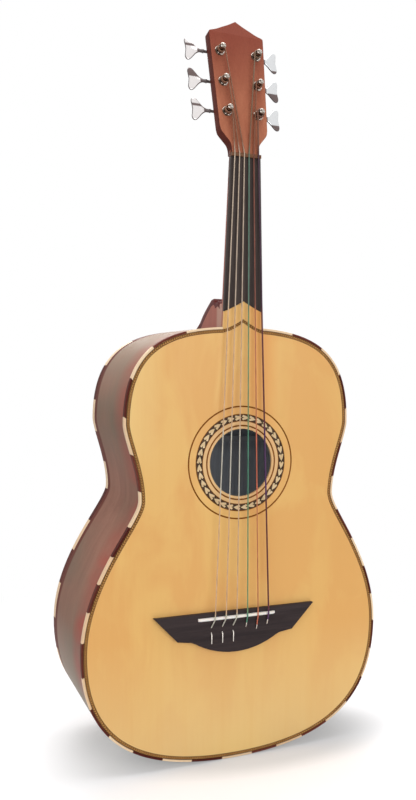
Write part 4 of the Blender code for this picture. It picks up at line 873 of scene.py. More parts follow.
def skin(bm, rings, around=False):
    """The solid over rings of equally many points, which close on themselves or have a cap at each end."""
    for ring, following in zip(rings, rings[1:] + (rings[:1] if around else [])):
        for k in range(len(ring)):
            after = (k + 1) % len(ring)
            bm.faces.new((ring[k], ring[after], following[after], following[k]))
    if not around:
        bm.faces.new(rings[0])
        bm.faces.new(rings[-1])
    return closed(bm)


def loft(sections):
    bm = bmesh.new()
    return skin(bm, [[bm.verts.new(point) for point in section] for section in sections])


def lathe(profile, steps=48, around=False):
    """A solid turned about Z from pairs of radius and height, which end on the axis or go around."""
    bm = bmesh.new()
    points = [bm.verts.new((r, 0, h)) for r, h in profile]
    edges = [bm.edges.new(pair) for pair in zip(points, points[1:] + (points[:1] if around else []))]
    circling = {"axis": (0, 0, 1), "cent": (0, 0, 0), "angle": math.tau, "steps": steps}
    bmesh.ops.spin(bm, geom=points + edges, **circling)
    bmesh.ops.remove_doubles(bm, verts=bm.verts, dist=WELD)
    return closed(bm)


def rod(radius, start, end, steps=32):
    return lathe(((0, start), (radius, start), (radius, end), (0, end)), steps)


def box_mesh(low, high, edge=0.0):
    bm = bmesh.new()
    bmesh.ops.create_cube(bm, size=1)
    bmesh.ops.scale(bm, vec=Vector(high) - Vector(low), verts=bm.verts)
    bmesh.ops.translate(bm, vec=(Vector(high) + Vector(low)) / 2, verts=bm.verts)
    mesh = closed(bm)
    return rounded(mesh, edge) if edge else mesh


def sliced(mesh, point, normal):
    """Takes away what lies on the normal's side of the plane and closes the cut."""
    bm = opened(mesh)
    everything = bm.verts[:] + bm.edges[:] + bm.faces[:]
    bmesh.ops.bisect_plane(bm, geom=everything, plane_co=point, plane_no=normal, clear_outer=True)
    bmesh.ops.holes_fill(bm, edges=[e for e in bm.edges if e.is_boundary], sides=0)
    return closed(bm)


def smooth_path(points, steps=6):
    """Catmull-Rom curve through points of any dimension, with its ends kept."""
    given = [Vector(p) for p in points]
    padded = [given[0] * 2 - given[1]] + given + [given[-1] * 2 - given[-2]]
    path = []
    for a, b, c, d in zip(padded, padded[1:], padded[2:], padded[3:]):
        square = 2 * a - 5 * b + 4 * c - d
        cube = 3 * b - a - 3 * c + d
        for t in [k / steps for k in range(steps)]:
            path.append(0.5 * (2 * b + (c - a) * t + square * t * t + cube * t**3))
    return [tuple(p) for p in path + [given[-1]]]


def mirrored(half):
    """A closed loop from the right-hand half, which runs from the bottom to the top of the centre line."""
    return list(half) + [(-x, y) for x, y in reversed(half) if x > 1e-9]


def circle(radius, centre_z=0.0, steps=ROUND_STEPS):
    return [polar(radius, math.tau * (k + 0.5) / steps, 0.0, centre_z) for k in range(steps)]


# Body outline


def bezier(p0, p1, p2, p3, t):
    weights = ((1 - t) ** 3, 3 * (1 - t) ** 2 * t, 3 * (1 - t) * t**2, t**3)
    return tuple(sum(w * p[axis] for w, p in zip(weights, (p0, p1, p2, p3))) for axis in (0, 1))


def half_outline():
    """The right-hand half of the body's outline, from the tail to the neck."""
    to_waist = WAIST_Z - LOWER_BOUT_Z
    to_upper = UPPER_BOUT_Z - WAIST_Z
    to_top = BODY_LENGTH - UPPER_BOUT_Z
    low, waist, high = LOWER_BOUT_FULLNESS, WAIST_FULLNESS, UPPER_BOUT_FULLNESS
    controls = (
        (0, 0),
        (TAIL_FULLNESS * LOWER_BOUT_HALF, 0),
        (LOWER_BOUT_HALF, LOWER_BOUT_Z * (1 - low[0])),
        (LOWER_BOUT_HALF, LOWER_BOUT_Z),
        (LOWER_BOUT_HALF, LOWER_BOUT_Z + low[1] * to_waist),
        (WAIST_HALF, WAIST_Z - waist[0] * to_waist),
        (WAIST_HALF, WAIST_Z),
        (WAIST_HALF, WAIST_Z + waist[1] * to_upper),
        (UPPER_BOUT_HALF, UPPER_BOUT_Z - high[0] * to_upper),
        (UPPER_BOUT_HALF, UPPER_BOUT_Z),
        (UPPER_BOUT_HALF, UPPER_BOUT_Z + high[1] * to_top),
        (SHOULDER_FULLNESS * UPPER_BOUT_HALF, BODY_LENGTH),
        (0, BODY_LENGTH),
    )
    points = [(0.0, 0.0)]
    for k in range(0, len(controls) - 1, 3):
        points += [bezier(*controls[k : k + 4], (step + 1) / OUTLINE_STEPS) for step in range(OUTLINE_STEPS)]
    return points


HALF_OUTLINE = half_outline()


def inset(distance, half=HALF_OUTLINE):
    """The half outline moved inwards, with its ends kept on the centre line."""
    loop = mirrored(half)
    shifted = []
    for k in range(len(half)):
        before, here, after = Vector(loop[k - 1]), Vector(loop[k]), Vector(loop[(k + 1) % len(loop)])
        first = (here - before).normalized()
        second = (after - here).normalized()
        normal = Vector((-first.y - second.y, first.x + second.x))
        place = here + normal * distance / (1 + first.dot(second))
        shifted.append((place.x, place.y))
    return shifted


def arc_lengths(path):
    lengths = [0.0]
    for first, second in zip(path, path[1:]):
        lengths.append(lengths[-1] + math.dist(first, second))
    return lengths


def at_x(first, second, x):
    share = (x - first[0]) / (second[0] - first[0])
    return (x, first[1] + share * (second[1] - first[1]))


def clipped(path, tail_x, top_x):
    """The part of a half path from tail_x at the tail to top_x at the shoulder."""
    kept = list(path)
    while kept[1][0] < tail_x:
        kept.pop(0)
    while kept[-2][0] < top_x:
        kept.pop()
    if tail_x > kept[0][0]:
        kept[0] = at_x(kept[0], kept[1], tail_x)
    if top_x > kept[-1][0]:
        kept[-1] = at_x(kept[-2], kept[-1], top_x)
    return kept


def resampled(path, start, end, count):
    """Equally spaced points of a path between two lengths along it."""
    lengths = arc_lengths(path)
    points = []
    k = 0
    for step in range(count + 1):
        want = start + (end - start) * step / count
        while k < len(path) - 2 and lengths[k + 1] < want:
            k += 1
        share = (want - lengths[k]) / (lengths[k + 1] - lengths[k])
        points.append(tuple(a + (b - a) * share for a, b in zip(path[k], path[k + 1])))
    return points


def flipped(path, side):
    return [(side * x, z) for x, z in path]


def back_y(z):
    return FACE_Y + RIM_DEPTH_TAIL + BACK_LEAN * z


def level(y):
    return lambda z: y


def band(outer, inner, front, back, around=False, edge=0.0, arcs=None, tone=0.5):
    """A solid between two paths in X and Z and two surfaces given as functions of Z.
    It carries the length along the outer path, the share across it and a tone as attributes."""
    bm = bmesh.new()
    layers = [bm.verts.layers.float.new(name) for name in ("arc", "across", "tone")]
    part = BLOCK_EDGE_SHARE if edge else 0.0
    rings = []
    for (xo, zo), (xi, zi), length in zip(outer, inner, arcs or arc_lengths(outer)):
        corners = [
            (xo, front(zo) + edge, zo, 0.0),
            (xi, front(zi), zi, 1.0),
            (xi, back(zi), zi, 1.0),
            (xo, back(zo) - edge, zo, 0.0),
        ]
        if edge:
            x, z = xo + (xi - xo) * part, zo + (zi - zo) * part
            corners.insert(1, (x, front(zo), z, 0.0))
            corners.insert(4, (x, back(zo), z, 0.0))
        ring = []
        for x, y, z, share in corners:
            ring.append(bm.verts.new((x, y, z)))
            for layer, value in zip(layers, (length, share, tone)):
                ring[-1][layer] = value
        rings.append(ring)
    return skin(bm, rings, around)


def peak_curve(half, base_z, rise, power, steps=20):
    """Points from the right-hand shoulder of a bracket peak to its tip on the centre line."""
    shares = [k / steps for k in range(steps + 1)]
    return [(half * (1 - s), base_z + rise * s**power) for s in shares]


def board_half(z):
    """Half width of the fingerboard, and of the soundboard's tongue in line with it."""
    slope = (FINGERBOARD_END_HALF - FINGERBOARD_NUT_HALF) / (NUT_Z - FINGERBOARD_END_Z)
    return FINGERBOARD_END_HALF - slope * (z - FINGERBOARD_END_Z)


def tongue_end():
    return peak_curve(FINGERBOARD_END_HALF, FINGERBOARD_END_Z, TONGUE_PEAK_RISE, TONGUE_PEAK_POWER)


# Soundboard and its inlays


def purfling_path(distance):
    """One edge of the purfling's right-hand half, from the tail to the peak."""
    half = clipped(inset(distance), 0.0, PURFLING_PEAK_HALF)
    half[0] = (0.0, half[0][1])
    return half + peak_curve(PURFLING_PEAK_HALF, half[-1][1], PURFLING_PEAK_RISE, PURFLING_PEAK_POWER)[1:]


def make_soundboard():
    outline = mirrored(clipped(inset(SIDE_THICKNESS), 0.0, board_half(BODY_LENGTH)) + tongue_end())
    board = upright_plate([outline, circle(SOUND_HOLE_RADIUS, SOUND_HOLE_Z)], FACE_Y, SOUNDBOARD_THICKNESS)
    edges = (SIDE_THICKNESS - CHANNEL_MARGIN, SIDE_THICKNESS + GAP + PURFLING_WIDTH + CHANNEL_MARGIN)
    channels = [mirrored(purfling_path(distance)) for distance in edges]
    for radius, width in sorted(ring[2:4] for ring in RINGS):
        channels += [circle(radius + side * (width / 2 + CHANNEL_MARGIN), SOUND_HOLE_Z) for side in (1, -1)]
    cutter = upright_plate(channels, FACE_Y - PAST, PAST + INLAY_DEPTH + CHANNEL_MARGIN)
    piece("soundboard_plate", cut(board, [cutter]), "spruce_board", "spruce", "soundboard")


def make_purfling():
    start = SIDE_THICKNESS + GAP
    outer, inner = (mirrored(purfling_path(distance)) for distance in (start, start + PURFLING_WIDTH))
    outer.append(outer[0])
    inner.append(inner[0])
    lengths = arc_lengths(outer)
    pitch = round(lengths[-1] / ROPE_PITCH) * ROPE_PITCH / lengths[-1]
    arcs = [length * pitch for length in lengths]
    mesh = band(outer, inner, level(FACE_Y), level(FACE_Y + INLAY_DEPTH), arcs=arcs)
    piece("purfling_rope", mesh, "rope_inlay", "rope_wood", "top_purfling")


def ring_mesh(radius, width, front=FACE_Y, depth=INLAY_DEPTH):
    outer, inner = (circle(radius + side * width / 2, SOUND_HOLE_Z) for side in (1, -1))
    return band(outer, inner, level(front), level(front + depth), around=True)


def make_rosette():
    """The two thin lines, the mosaic's ground with its borders, and the arrowheads let into it."""
    for name, node, radius, width, material, slot in RINGS:
        piece(name, ring_mesh(radius, width), material, slot, node)
    edges = []
    for side in (-1, 1):
        radius = MOSAIC_RADIUS + side * (MOSAIC_WIDTH - MOSAIC_BORDER) / 2
        edges.append(ring_mesh(radius, MOSAIC_BORDER, FACE_Y - ARROW_PROUD / 2, INLAY_DEPTH / 2))
    piece("rosette_borders", joined(edges), "line_wood_grain", "line_wood")
    arrows = []
    for k in range(ARROWS):
        loop = []
        for turn, out in ARROWHEAD:
            angle = -(k + turn) * math.tau / ARROWS
            loop.append(polar(MOSAIC_RADIUS + out * ARROW_REACH, angle, 0.0, SOUND_HOLE_Z))
        faces = (FACE_Y - ARROW_PROUD, FACE_Y + INLAY_DEPTH / 2)
        arrows.append(loft([[(x, y, z) for x, z in loop] for y in faces]))
    piece("rosette_arrowheads", joined(arrows), "arrow_wood", "mosaic", smooth=20)


# Bindings, ribs and back


def binding_mesh(outer_half, inner_half, front, back, halves):
    """Alternating blocks round both halves, with the cream one across the tail."""
    whole = arc_lengths(outer_half)[-1]
    inner_whole = arc_lengths(inner_half)[-1]
    chance = random.Random(7)
    meshes = []
    for side, joints in zip((-1, 1), halves):
        ends = [0.0, *joints, whole]
        for number, (low, high) in enumerate(zip(ends, ends[1:])):
            low += BLOCK_GAP if number else 0.0
            high_end = high - BLOCK_GAP
            count = max(4, round((high - low) / BLOCK_STEP))
            outer = resampled(outer_half, low, high_end, count)
            inner = resampled(inner_half, low / whole * inner_whole, high_end / whole * inner_whole, count)
            paths = (flipped(outer, side), flipped(inner, side))
            mesh = band(*paths, front, back, edge=BLOCK_EDGE, tone=chance.random())
            second_where(mesh, lambda face: number % 2)
            meshes.append(mesh)
    return joined(meshes)


def paired_inset(distance, top_x):
    """Outline and inset points that belong together, both ending at the neck."""
    outer = inset(0.0)
    keep = len([1 for x, z in outer if z < UPPER_BOUT_Z or x > top_x])
    return [path[:keep] + [at_x(path[keep - 1], path[keep], top_x)] for path in (outer, inset(distance))]


def make_bindings():
    blocks = ("cream_block", "dark_block")
    paths = paired_inset(BINDING_WIDTH, board_half(BODY_LENGTH) + GAP)
    top = binding_mesh(*paths, level(FACE_Y), level(FACE_Y + TOP_BINDING_DEPTH), TOP_JOINTS)
    piece("binding_top_blocks", top, blocks, "block_binding", "top_binding")
    paths = paired_inset(BINDING_WIDTH, BACK_BINDING_END)
    back = binding_mesh(*paths, lambda z: back_y(z) - BACK_BINDING_DEPTH, back_y, (BACK_JOINTS, BACK_JOINTS))
    piece("binding_back_blocks", back, blocks, "block_binding", "back_binding")


def faces_inwards(face):
    """True where a rib's face looks into the body; the waist is tested against its own centre."""
    centre = LOWER_BOUT_Z if face.center.z < WAIST_Z else UPPER_BOUT_Z
    away = Vector((face.center.x, 0.0, (face.center.z - centre) * 0.3))
    return face.normal.dot(away) < 0 and abs(face.normal.y) < 0.5


def make_ribs():
    paths = []
    for distance in (0.0, SIDE_THICKNESS):
        path = clipped(inset(distance), END_GRAFT_HALF + GAP, HEEL_CORE_HALF + GAP)
        paths.append(resampled(path, 0.0, arc_lengths(path)[-1], RIB_STEPS))
    front = level(FACE_Y + TOP_BINDING_DEPTH + GAP / 2)
    for word, side in (("left", -1), ("right", 1)):
        outer, inner = (flipped(path, side) for path in paths)
        mesh = band(outer, inner, front, lambda z: back_y(z) - BACK_BINDING_DEPTH - GAP / 2)
        # The inner faces take the painted shade
        second_where(mesh, faces_inwards)
        piece("rib_" + word, mesh, ("rib_wood", "rib_inside_wood"), "red_wood", "side_" + word)


def ridge_rise(z):
    share = min(max(z / BODY_LENGTH, 0.0), 1.0)
    return BACK_RIDGE_RISE * (4 * share * (1 - share)) ** BACK_RIDGE_POWER


def make_back():
    """Two panels from the rim up to the ridge, each with a slight bulge."""
    path = inset(SIDE_THICKNESS)
    low, high = path[0][1], path[-1][1]
    for word, side in (("left", -1), ("right", 1)):
        bm = bmesh.new()
        grid = []
        for k, (x, z) in enumerate(path):
            ridge_z = low + (high - low) * k / (len(path) - 1)
            row = []
            for share in [j / BACK_ROWS for j in range(BACK_ROWS + 1)]:
                height = z * (1 - share) + ridge_z * share
                bulge = BACK_BULGE * 4 * share * (1 - share) * min(1.0, x / WAIST_HALF)
                y = back_y(height) + ridge_rise(ridge_z) * share + bulge
                row.append(bm.verts.new((side * max(x * (1 - share), GAP / 4), y, height)))
            grid.append(row)
        for row, following in zip(grid, grid[1:]):
            for j in range(BACK_ROWS):
                bm.faces.new((row[j], row[j + 1], following[j + 1], following[j]))
        bmesh.ops.remove_doubles(bm, verts=bm.verts, dist=WELD)
        made = bmesh.ops.extrude_face_region(bm, geom=bm.faces[:])["geom"]
        lifted = [part for part in made if isinstance(part, bmesh.types.BMVert)]
        bmesh.ops.translate(bm, vec=(0, -BACK_THICKNESS, 0), verts=lifted)
        mesh = closed(bm)
        # The inner faces take the painted shade
        second_where(mesh, lambda face: face.normal.y < -0.3)
        piece("back_panel_" + word, mesh, ("back_wood", "back_inside_wood"), "red_wood", "back_" + word)


# Neck, head, fingerboard and nut


HEAD = at(0, FACE_Y, NUT_TOP_Z + GAP) @ Matrix.Rotation(math.radians(90 - HEAD_TILT), 4, "X")
HEEL_LINE = smooth_path(HEEL_CARVING, HEEL_STEPS)


def shaft_section(z):
    share = min(max((z - BODY_LENGTH) / (NUT_Z - BODY_LENGTH), 0.0), 1.0)
    depth = NECK_DEPTH_HEEL + (NECK_DEPTH_NUT - NECK_DEPTH_HEEL) * share - FINGERBOARD_THICKNESS - GAP
    half = board_half(z)
    section = []
    for turn in half_turn(32):
        x = half * math.copysign(abs(math.cos(turn)) ** NECK_ROUNDNESS, math.cos(turn))
        section.append((x, NECK_FACE_Y + depth * math.sin(turn), z))
    return section


def shaft(low, high):
    return loft([shaft_section(low + (high - low) * k / NECK_STEPS) for k in range(NECK_STEPS + 1)])


def heel_band(depth, rise):
    """Height of the dark band of painted shade on the heel's sides, which widens towards the back."""
    share = (depth - HEEL_CARVING[0][0]) / (RIM_DEPTH_HEEL - NECK_DEPTH_HEEL)
    return min(HEEL_EDGE + HEEL_EDGE_GROWTH * share, rise * HEEL_EDGE_MOST)


def heel_mesh():
    base = BODY_LENGTH + GAP
    sections = []
    for depth, rise in HEEL_LINE:
        share = (depth - HEEL_CARVING[0][0]) / (RIM_DEPTH_HEEL - NECK_DEPTH_HEEL)
        half = max(HEEL_FRONT_HALF + (HEEL_BACK_HALF - HEEL_FRONT_HALF) * share, HEEL_BACK_HALF)
        y = FACE_Y + depth
        top = base + rise
        chamfer = min(HEEL_CHAMFER, half / 5)
        right = (
            (half, base),
            (half, top - heel_band(depth, rise)),
            (half, top - chamfer),
            (half - chamfer * HEEL_CHAMFER_BULGE, top - chamfer * HEEL_CHAMFER_BULGE),
            (half - chamfer, top),
        )
        sections.append([(-x, y, z) for x, z in right] + [(x, y, z) for x, z in reversed(right)])
    return loft(sections)


def on_heel_edge(face):
    """True for a face of the heel's top, back ridge and the band beside them, which take the dark painted
    shade.
    """
    depth = face.center.y - FACE_Y
    for (near, low), (far, high) in zip(HEEL_LINE, HEEL_LINE[1:]):
        if near <= depth <= far:
            rise = low + (high - low) * (depth - near) / (far - near)
            above = face.center.z - BODY_LENGTH - rise
            return depth > HEEL_CARVING[1][0] and -heel_band(depth, rise) < above < 4 * GAP
    return False


def make_neck():
    out = HEAD.to_3x3() @ Vector((0, 0, 1))
    glue_plane = HEAD @ Vector((0, 0, -HEAD_THICKNESS - GAP))
    stem = sliced(shaft(BODY_LENGTH + NECK_OVERLAP, NUT_TOP_Z + VOLUTE_LENGTH), glue_plane, out)
    pad_half = [(board_half(BODY_LENGTH), BODY_LENGTH + PAST)] + [(x, z - GAP) for x, z in tongue_end()]
    inner_y = FACE_Y + SOUNDBOARD_THICKNESS + GAP
    pad = upright_plate([mirrored(pad_half)], inner_y, NECK_FACE_Y - inner_y + NECK_OVERLAP)
    foot_top = BODY_LENGTH - SIDE_THICKNESS - GAP
    foot_low = (-FOOT_HALF, inner_y, foot_top - FOOT_HEIGHT)
    foot_high = (FOOT_HALF, FACE_Y + RIM_DEPTH_HEEL - BACK_THICKNESS - 2 * GAP, foot_top - PAST)
    mesh = joined([cut(stem, [heel_mesh(), pad], "UNION"), box_mesh(foot_low, foot_high, FOOT_EDGE)])
    # The heel's top, back ridge and the band beside them take the painted shade
    second_where(mesh, on_heel_edge)
    piece("neck_wood_carved", mesh, ("neck_wood", "heel_edge_wood"), "red_wood", "neck", smooth=32)


def post_places():
    left = [(-x, y) for x, y in zip(POST_X, POST_Y)]
    return left + list(zip(POST_X, POST_Y))[::-1]


def make_headstock():
    loop = mirrored(smooth_path(HEAD_SIDE, 5) + smooth_path(HEAD_CROWN, 5)[1:])
    slab = plate([loop], HEAD_THICKNESS, HEAD_EDGE, HEAD @ at(0, 0, -HEAD_THICKNESS / 2))
    inward = HEAD.to_3x3() @ Vector((0, 0, -1))
    scarf_length = HEAD_THICKNESS / math.sin(math.radians(HEAD_TILT))
    scarf = shaft(NUT_TOP_Z - scarf_length, NUT_TOP_Z + SCARF_OVERLAP)
    scarf = sliced(scarf, HEAD @ Vector((0, 0, -HEAD_THICKNESS)), inward)
    seat = box_mesh(
        (-FINGERBOARD_END_HALF, FACE_Y - PAST, NUT_Z - NUT_HEIGHT),
        (FINGERBOARD_END_HALF, NECK_FACE_Y + GAP, NUT_TOP_Z + GAP),
    )
    bore = POST_RADIUS + RUNNING_GAP + FERRULE_WALL + GAP / 2
    drill = rod(bore, -HEAD_THICKNESS - 2 * PAST, 2 * PAST)
    head = cut(cut(slab, [seat]), [scarf], "UNION")
    mesh = cut(head, [moved(drill, HEAD @ at(x, y, 0)) for x, y in post_places()])
    # The head's side faces take a dark painted shade
    second_where(mesh, lambda face: abs(face.normal.dot(inward)) < 0.5)
    piece("headstock_slab", mesh, ("head_wood_grain", "head_edge_grain"), "head_wood", "headstock", smooth=32)


def make_fingerboard():
    end_z = NUT_Z - NUT_HEIGHT / 2 - GAP
    bottom = [(x, z + GAP) for x, z in reversed(tongue_end())]
    loop = mirrored(bottom + [(board_half(end_z), end_z), (0.0, end_z)])
    mesh = rounded(upright_plate([loop], FACE_Y, FINGERBOARD_THICKNESS), FINGERBOARD_EDGE, 2, 60)
    piece("fingerboard_slab", mesh, "fingerboard_wood", "dark_wood", "fingerboard")


# Strings


def spread(k, spacing):
    return (k - 2.5) * spacing


def tunnel_points(k):
    """The path of a string's tunnel through the bridge, from its hole down and out again where it is tied."""
    tied = k in TIED_STRINGS
    x = spread(k, SADDLE_SPACING) + (TIE_SLANT if tied else 0.0)
    z = SADDLE_Z - HOLE_DROPS[k]
    mouth = BRIDGE_FACE_Y - GAP / 2
    deep = BRIDGE_FACE_Y + TUNNEL_DEPTH
    points = [(x, mouth, z), (x, deep, z - TUNNEL_RAMP), (x, deep, z - TUNNEL_LENGTH + TUNNEL_RAMP)]
    if tied:
        proud = BRIDGE_FACE_Y - STRING_RADII[k] - 2 * GAP
        points += [(x, mouth, z - TUNNEL_LENGTH), (x, proud, z - TUNNEL_LENGTH - 2 * PAST)]
    return points


def saddle_point(k):
    crown = BRIDGE_FACE_Y - SADDLE_RISE
    return (spread(k, SADDLE_SPACING), crown - STRING_RADII[k] - GAP / 4, SADDLE_Z)


def nut_points(k):
    return [(spread(k, NUT_SPACING), FACE_Y - NUT_RISE, NUT_Z + end * NUT_HEIGHT / 2) for end in (-1, 1)]


def coil_points(k):
    """The wound end of a string, from its tangent point down the post."""
    radius = STRING_RADII[k]
    x, y = post_places()[k]
    turning = POST_WAIST_RADIUS + COIL_CLEARANCE + radius
    start = HEAD.inverted() @ Vector(nut_points(k)[-1])
    away = Vector((start.x - x, start.y - y))
    side = 1 if x < 0 else -1
    angle = math.atan2(away.y, away.x) + side * math.acos(turning / away.length)
    pitch = 2 * radius + COIL_SPACING
    bottom = FERRULE_HEIGHT + COIL_CLEARANCE + radius
    points = []
    for turns in [step / COIL_STEPS for step in range(COIL_TURNS * COIL_STEPS + 1)]:
        place = polar(turning, angle + side * math.tau * turns, x, y)
        points.append(tuple(HEAD @ Vector((*place, bottom + pitch * (COIL_TURNS - turns)))))
    return points


def string_line(k):
    points = tunnel_points(k)[::-1]
    crossing = saddle_point(k)
    if k in TIED_STRINGS:
        x, y, z = points[0]
        points.insert(0, (x, y, z - TIE_LENGTH))
    else:
        points.append(tuple(Vector(points[-1]).lerp(Vector(crossing), WIRE_END / HOLE_DROPS[k])))
    return points + [crossing] + nut_points(k) + coil_points(k)


def make_strings():
    for k, name in enumerate(STRING_NAMES):
        word = "string_" + name.split("_")[1]
        material = "string_wound" if k in TIED_STRINGS else word + "_nylon"
        mesh = tube(string_line(k), STRING_RADII[k])
        wire_end = SADDLE_Z - HOLE_DROPS[k] + (0.0 if k in TIED_STRINGS else WIRE_END)
        second_where(mesh, lambda face: face.center.z < wire_end)
        materials = (material, "string_end_wire")
        piece("string_line_" + name, mesh, materials, word, "string_" + name, smooth=70)


# Bridge and saddle


def bridge_loop():
    top = SADDLE_Z + BRIDGE_TOP_ABOVE_SADDLE
    radius = (BELLY_HALF**2 + BELLY_RISE**2) / (2 * BELLY_RISE)
    centre = SADDLE_Z - BELLY_TOP_DROP - BELLY_RISE + radius
    widest = math.asin(BELLY_HALF / radius)
    turns = [widest * k / BELLY_STEPS for k in range(BELLY_STEPS + 1)]
    belly = [(radius * math.sin(a), centre - radius * math.cos(a)) for a in turns]
    ends = [(x, SADDLE_Z - drop) for x, drop in (BRIDGE_STEP, BRIDGE_SHOULDER)]
    return [(x + BRIDGE_SHIFT, z) for x, z in mirrored(belly + ends + [(BRIDGE_HALF, top), (0.0, top)])]


def make_bridge():
    mesh = upright_plate([bridge_loop()], BRIDGE_FACE_Y, BRIDGE_THICKNESS, BRIDGE_EDGE)
    half = SADDLE_WIDTH / 2 + GAP / 2
    slot = box_mesh(
        (BRIDGE_SHIFT - SADDLE_HALF - GAP, BRIDGE_FACE_Y - 2 * PAST, SADDLE_Z - half),
        (BRIDGE_SHIFT + SADDLE_HALF + GAP, BRIDGE_FACE_Y + SADDLE_SLOT_DEPTH + GAP, SADDLE_Z + half),
    )
    tunnels = []
    for k, radius in enumerate(STRING_RADII):
        points = tunnel_points(k)
        first = Vector(points[0]).lerp(Vector(saddle_point(k)), TUNNEL_MOUTH_SHARE)
        tunnels.append(tube([tuple(first)] + points, radius + GAP, 2))
    piece("bridge_body", cut(mesh, [slot] + tunnels), "bridge_wood_grain", "bridge_wood", "bridge")


def make_saddle():
    """A bone strip with a rounded crown, which falls towards both ends."""
    half = SADDLE_WIDTH / 2
    foot = BRIDGE_FACE_Y + SADDLE_SLOT_DEPTH
    sections = []
    for step in range(-SADDLE_STEPS, SADDLE_STEPS + 1):
        sunk = max(abs(step) - SADDLE_STEPS + SADDLE_END_STEPS, 0) / SADDLE_END_STEPS
        reach = SADDLE_HALF * abs(step) / SADDLE_STEPS
        if sunk > 0:
            reach = SADDLE_HALF - SADDLE_END_LENGTH * (1 - sunk)
        x = BRIDGE_SHIFT + math.copysign(reach, step)
        top = BRIDGE_FACE_Y - SADDLE_RISE + SADDLE_RISE * 0.5 * sunk**2
        section = [(x, top + half - half * math.sin(a), SADDLE_Z + half * math.cos(a)) for a in half_turn(12)]
        sections.append(section + [(x, foot, SADDLE_Z - half), (x, foot, SADDLE_Z + half)])
    piece("saddle_strip", loft(sections), "saddle_bone", "bone", "saddle")


# Tuning machines, each about its post's axis in the head's frame


def along_x(side):
    return Matrix.Rotation(side * math.pi / 2, 4, "Y")


def hole(radius, steps=40):
    return circle(radius, 0.0, steps)


def gear_mesh():
    flank = (
        (GEAR_ROOT_RADIUS, GEAR_TOOTH_ROOT / 2),
        (GEAR_TIP_RADIUS - FINE_EDGE, (GEAR_TOOTH_TIP + FINE_EDGE) / 2),
        (GEAR_TIP_RADIUS, (GEAR_TOOTH_TIP - FINE_EDGE) / 2),
    )
    tooth = [(r, -width) for r, width in flank] + [(r, width) for r, width in reversed(flank)]
    loop = []
    for number in range(GEAR_TEETH):
        centre = math.pi / 2 + math.tau * number / GEAR_TEETH
        loop += [polar(radius, centre + width / radius) for radius, width in tooth]
    bore = hole(POST_RADIUS + GEAR_BORE_MARGIN)
    return plate([loop, bore], GEAR_WIDTH, FINE_EDGE, at(0, 0, -KEY_AXIS_DEPTH))


def post_mesh():
    top = POST_HEIGHT
    waist_low = FERRULE_HEIGHT + GAP
    collar = -HEAD_THICKNESS - GAP - PLATE_THICKNESS - RUNNING_GAP
    collar_end = -KEY_AXIS_DEPTH + GEAR_WIDTH / 2 - POST_COLLAR_OVERLAP
    boss = -KEY_AXIS_DEPTH - GEAR_WIDTH / 2 - GEAR_BOSS_HEIGHT
    cap = top - POST_CAP_HEIGHT
    profile = (
        *((POST_RADIUS * share, top - drop) for share, drop in POST_DOME),
        (POST_RADIUS, cap + 2 * FINE_EDGE),
        (POST_RADIUS - FINE_EDGE / 2, cap + FINE_EDGE / 2),
        (POST_WAIST_RADIUS, cap - POST_FILLET),
        (POST_WAIST_RADIUS, waist_low + POST_FILLET),
        (POST_RADIUS, waist_low),
        (POST_RADIUS, collar),
        (POST_COLLAR_RADIUS, collar),
        (POST_COLLAR_RADIUS, collar_end),
        (POST_RADIUS, collar_end),
        (POST_RADIUS, boss + SHAFT_CHAMFER),
        (POST_RADIUS - SHAFT_CHAMFER, boss),
        (0, boss),
    )
    drill = rod(POST_HOLE_RADIUS, -POST_HOLE_REACH, POST_HOLE_REACH, 20)
    drill = moved(drill, at(0, 0, top - POST_CAP_HEIGHT / 2) @ along_x(1))
    x, y, depth = POST_SLOT
    return cut(lathe(profile, 40), [drill, box_mesh((-x, -y, boss - PAST), (x, y, boss + depth))])


def worm_mesh():
    """The thread, which grows to its full height and falls again at its ends."""
    sections = []
    total = round(WORM_TURNS * WORM_STEPS)
    buried = WORM_ROOT_RADIUS - WORM_BURIED
    low = WORM_ROOT_RADIUS + WORM_LEAST_HEIGHT
    half = WORM_ROOT_WIDTH / 2
    for step in range(total + 1):
        turns = step / WORM_STEPS - WORM_TURNS / 2
        full = min(1.0, step / WORM_RUN_OUT, (total - step) / WORM_RUN_OUT)
        tip = low + (WORM_TIP_RADIUS - low) * full
        corners = ((buried, -half), (tip, -WORM_CREST_HALF), (tip, WORM_CREST_HALF), (buried, half))
        along = WORM_LEAD * (turns + 0.5)
        sections.append([(along + a, *polar(r, math.tau * (turns + 0.5))) for r, a in corners])
    return loft(sections)


def key_mesh(side, dark):
    """The stem with its worm, and the two-lobed blade with its rounded rim, which like the stem is darker
    with painted reflection.
    """
    root = WORM_ROOT_RADIUS
    start = -EAR_DISTANCE - EAR_THICKNESS / 2
    collar = [(root + wider, KEY_OUTLINE[0][0] + along) for wider, along in KEY_COLLAR]
    end = [(0, start), (root - SHAFT_CHAMFER, start), (root, start + SHAFT_CHAMFER)]
    stem = lathe(end + collar, 28)
    stem = joined([moved(stem, along_x(side)), worm_mesh()])
    # The stem takes the painted dark reflection
    second_where(stem, lambda face: True)
    half = smooth_path(KEY_OUTLINE, 4)
    loop = half + [(x, -y) for x, y in reversed(half) if y > 1e-6]
    blade = plate([flipped(loop, side)], KEY_THICKNESS, KEY_EDGE)
    # The blade's rim takes the painted dark reflection
    second_where(blade, lambda face: abs(face.normal.z) <= 0.9)
    mesh = joined([stem, blade])
    # The heights between which the blade shows its painted dark reflection
    for name, height in zip(("dark_low", "dark_high"), dark):
        mesh.attributes.new(name, "FLOAT", "POINT").data.foreach_set("value", [height] * len(mesh.vertices))
    return mesh


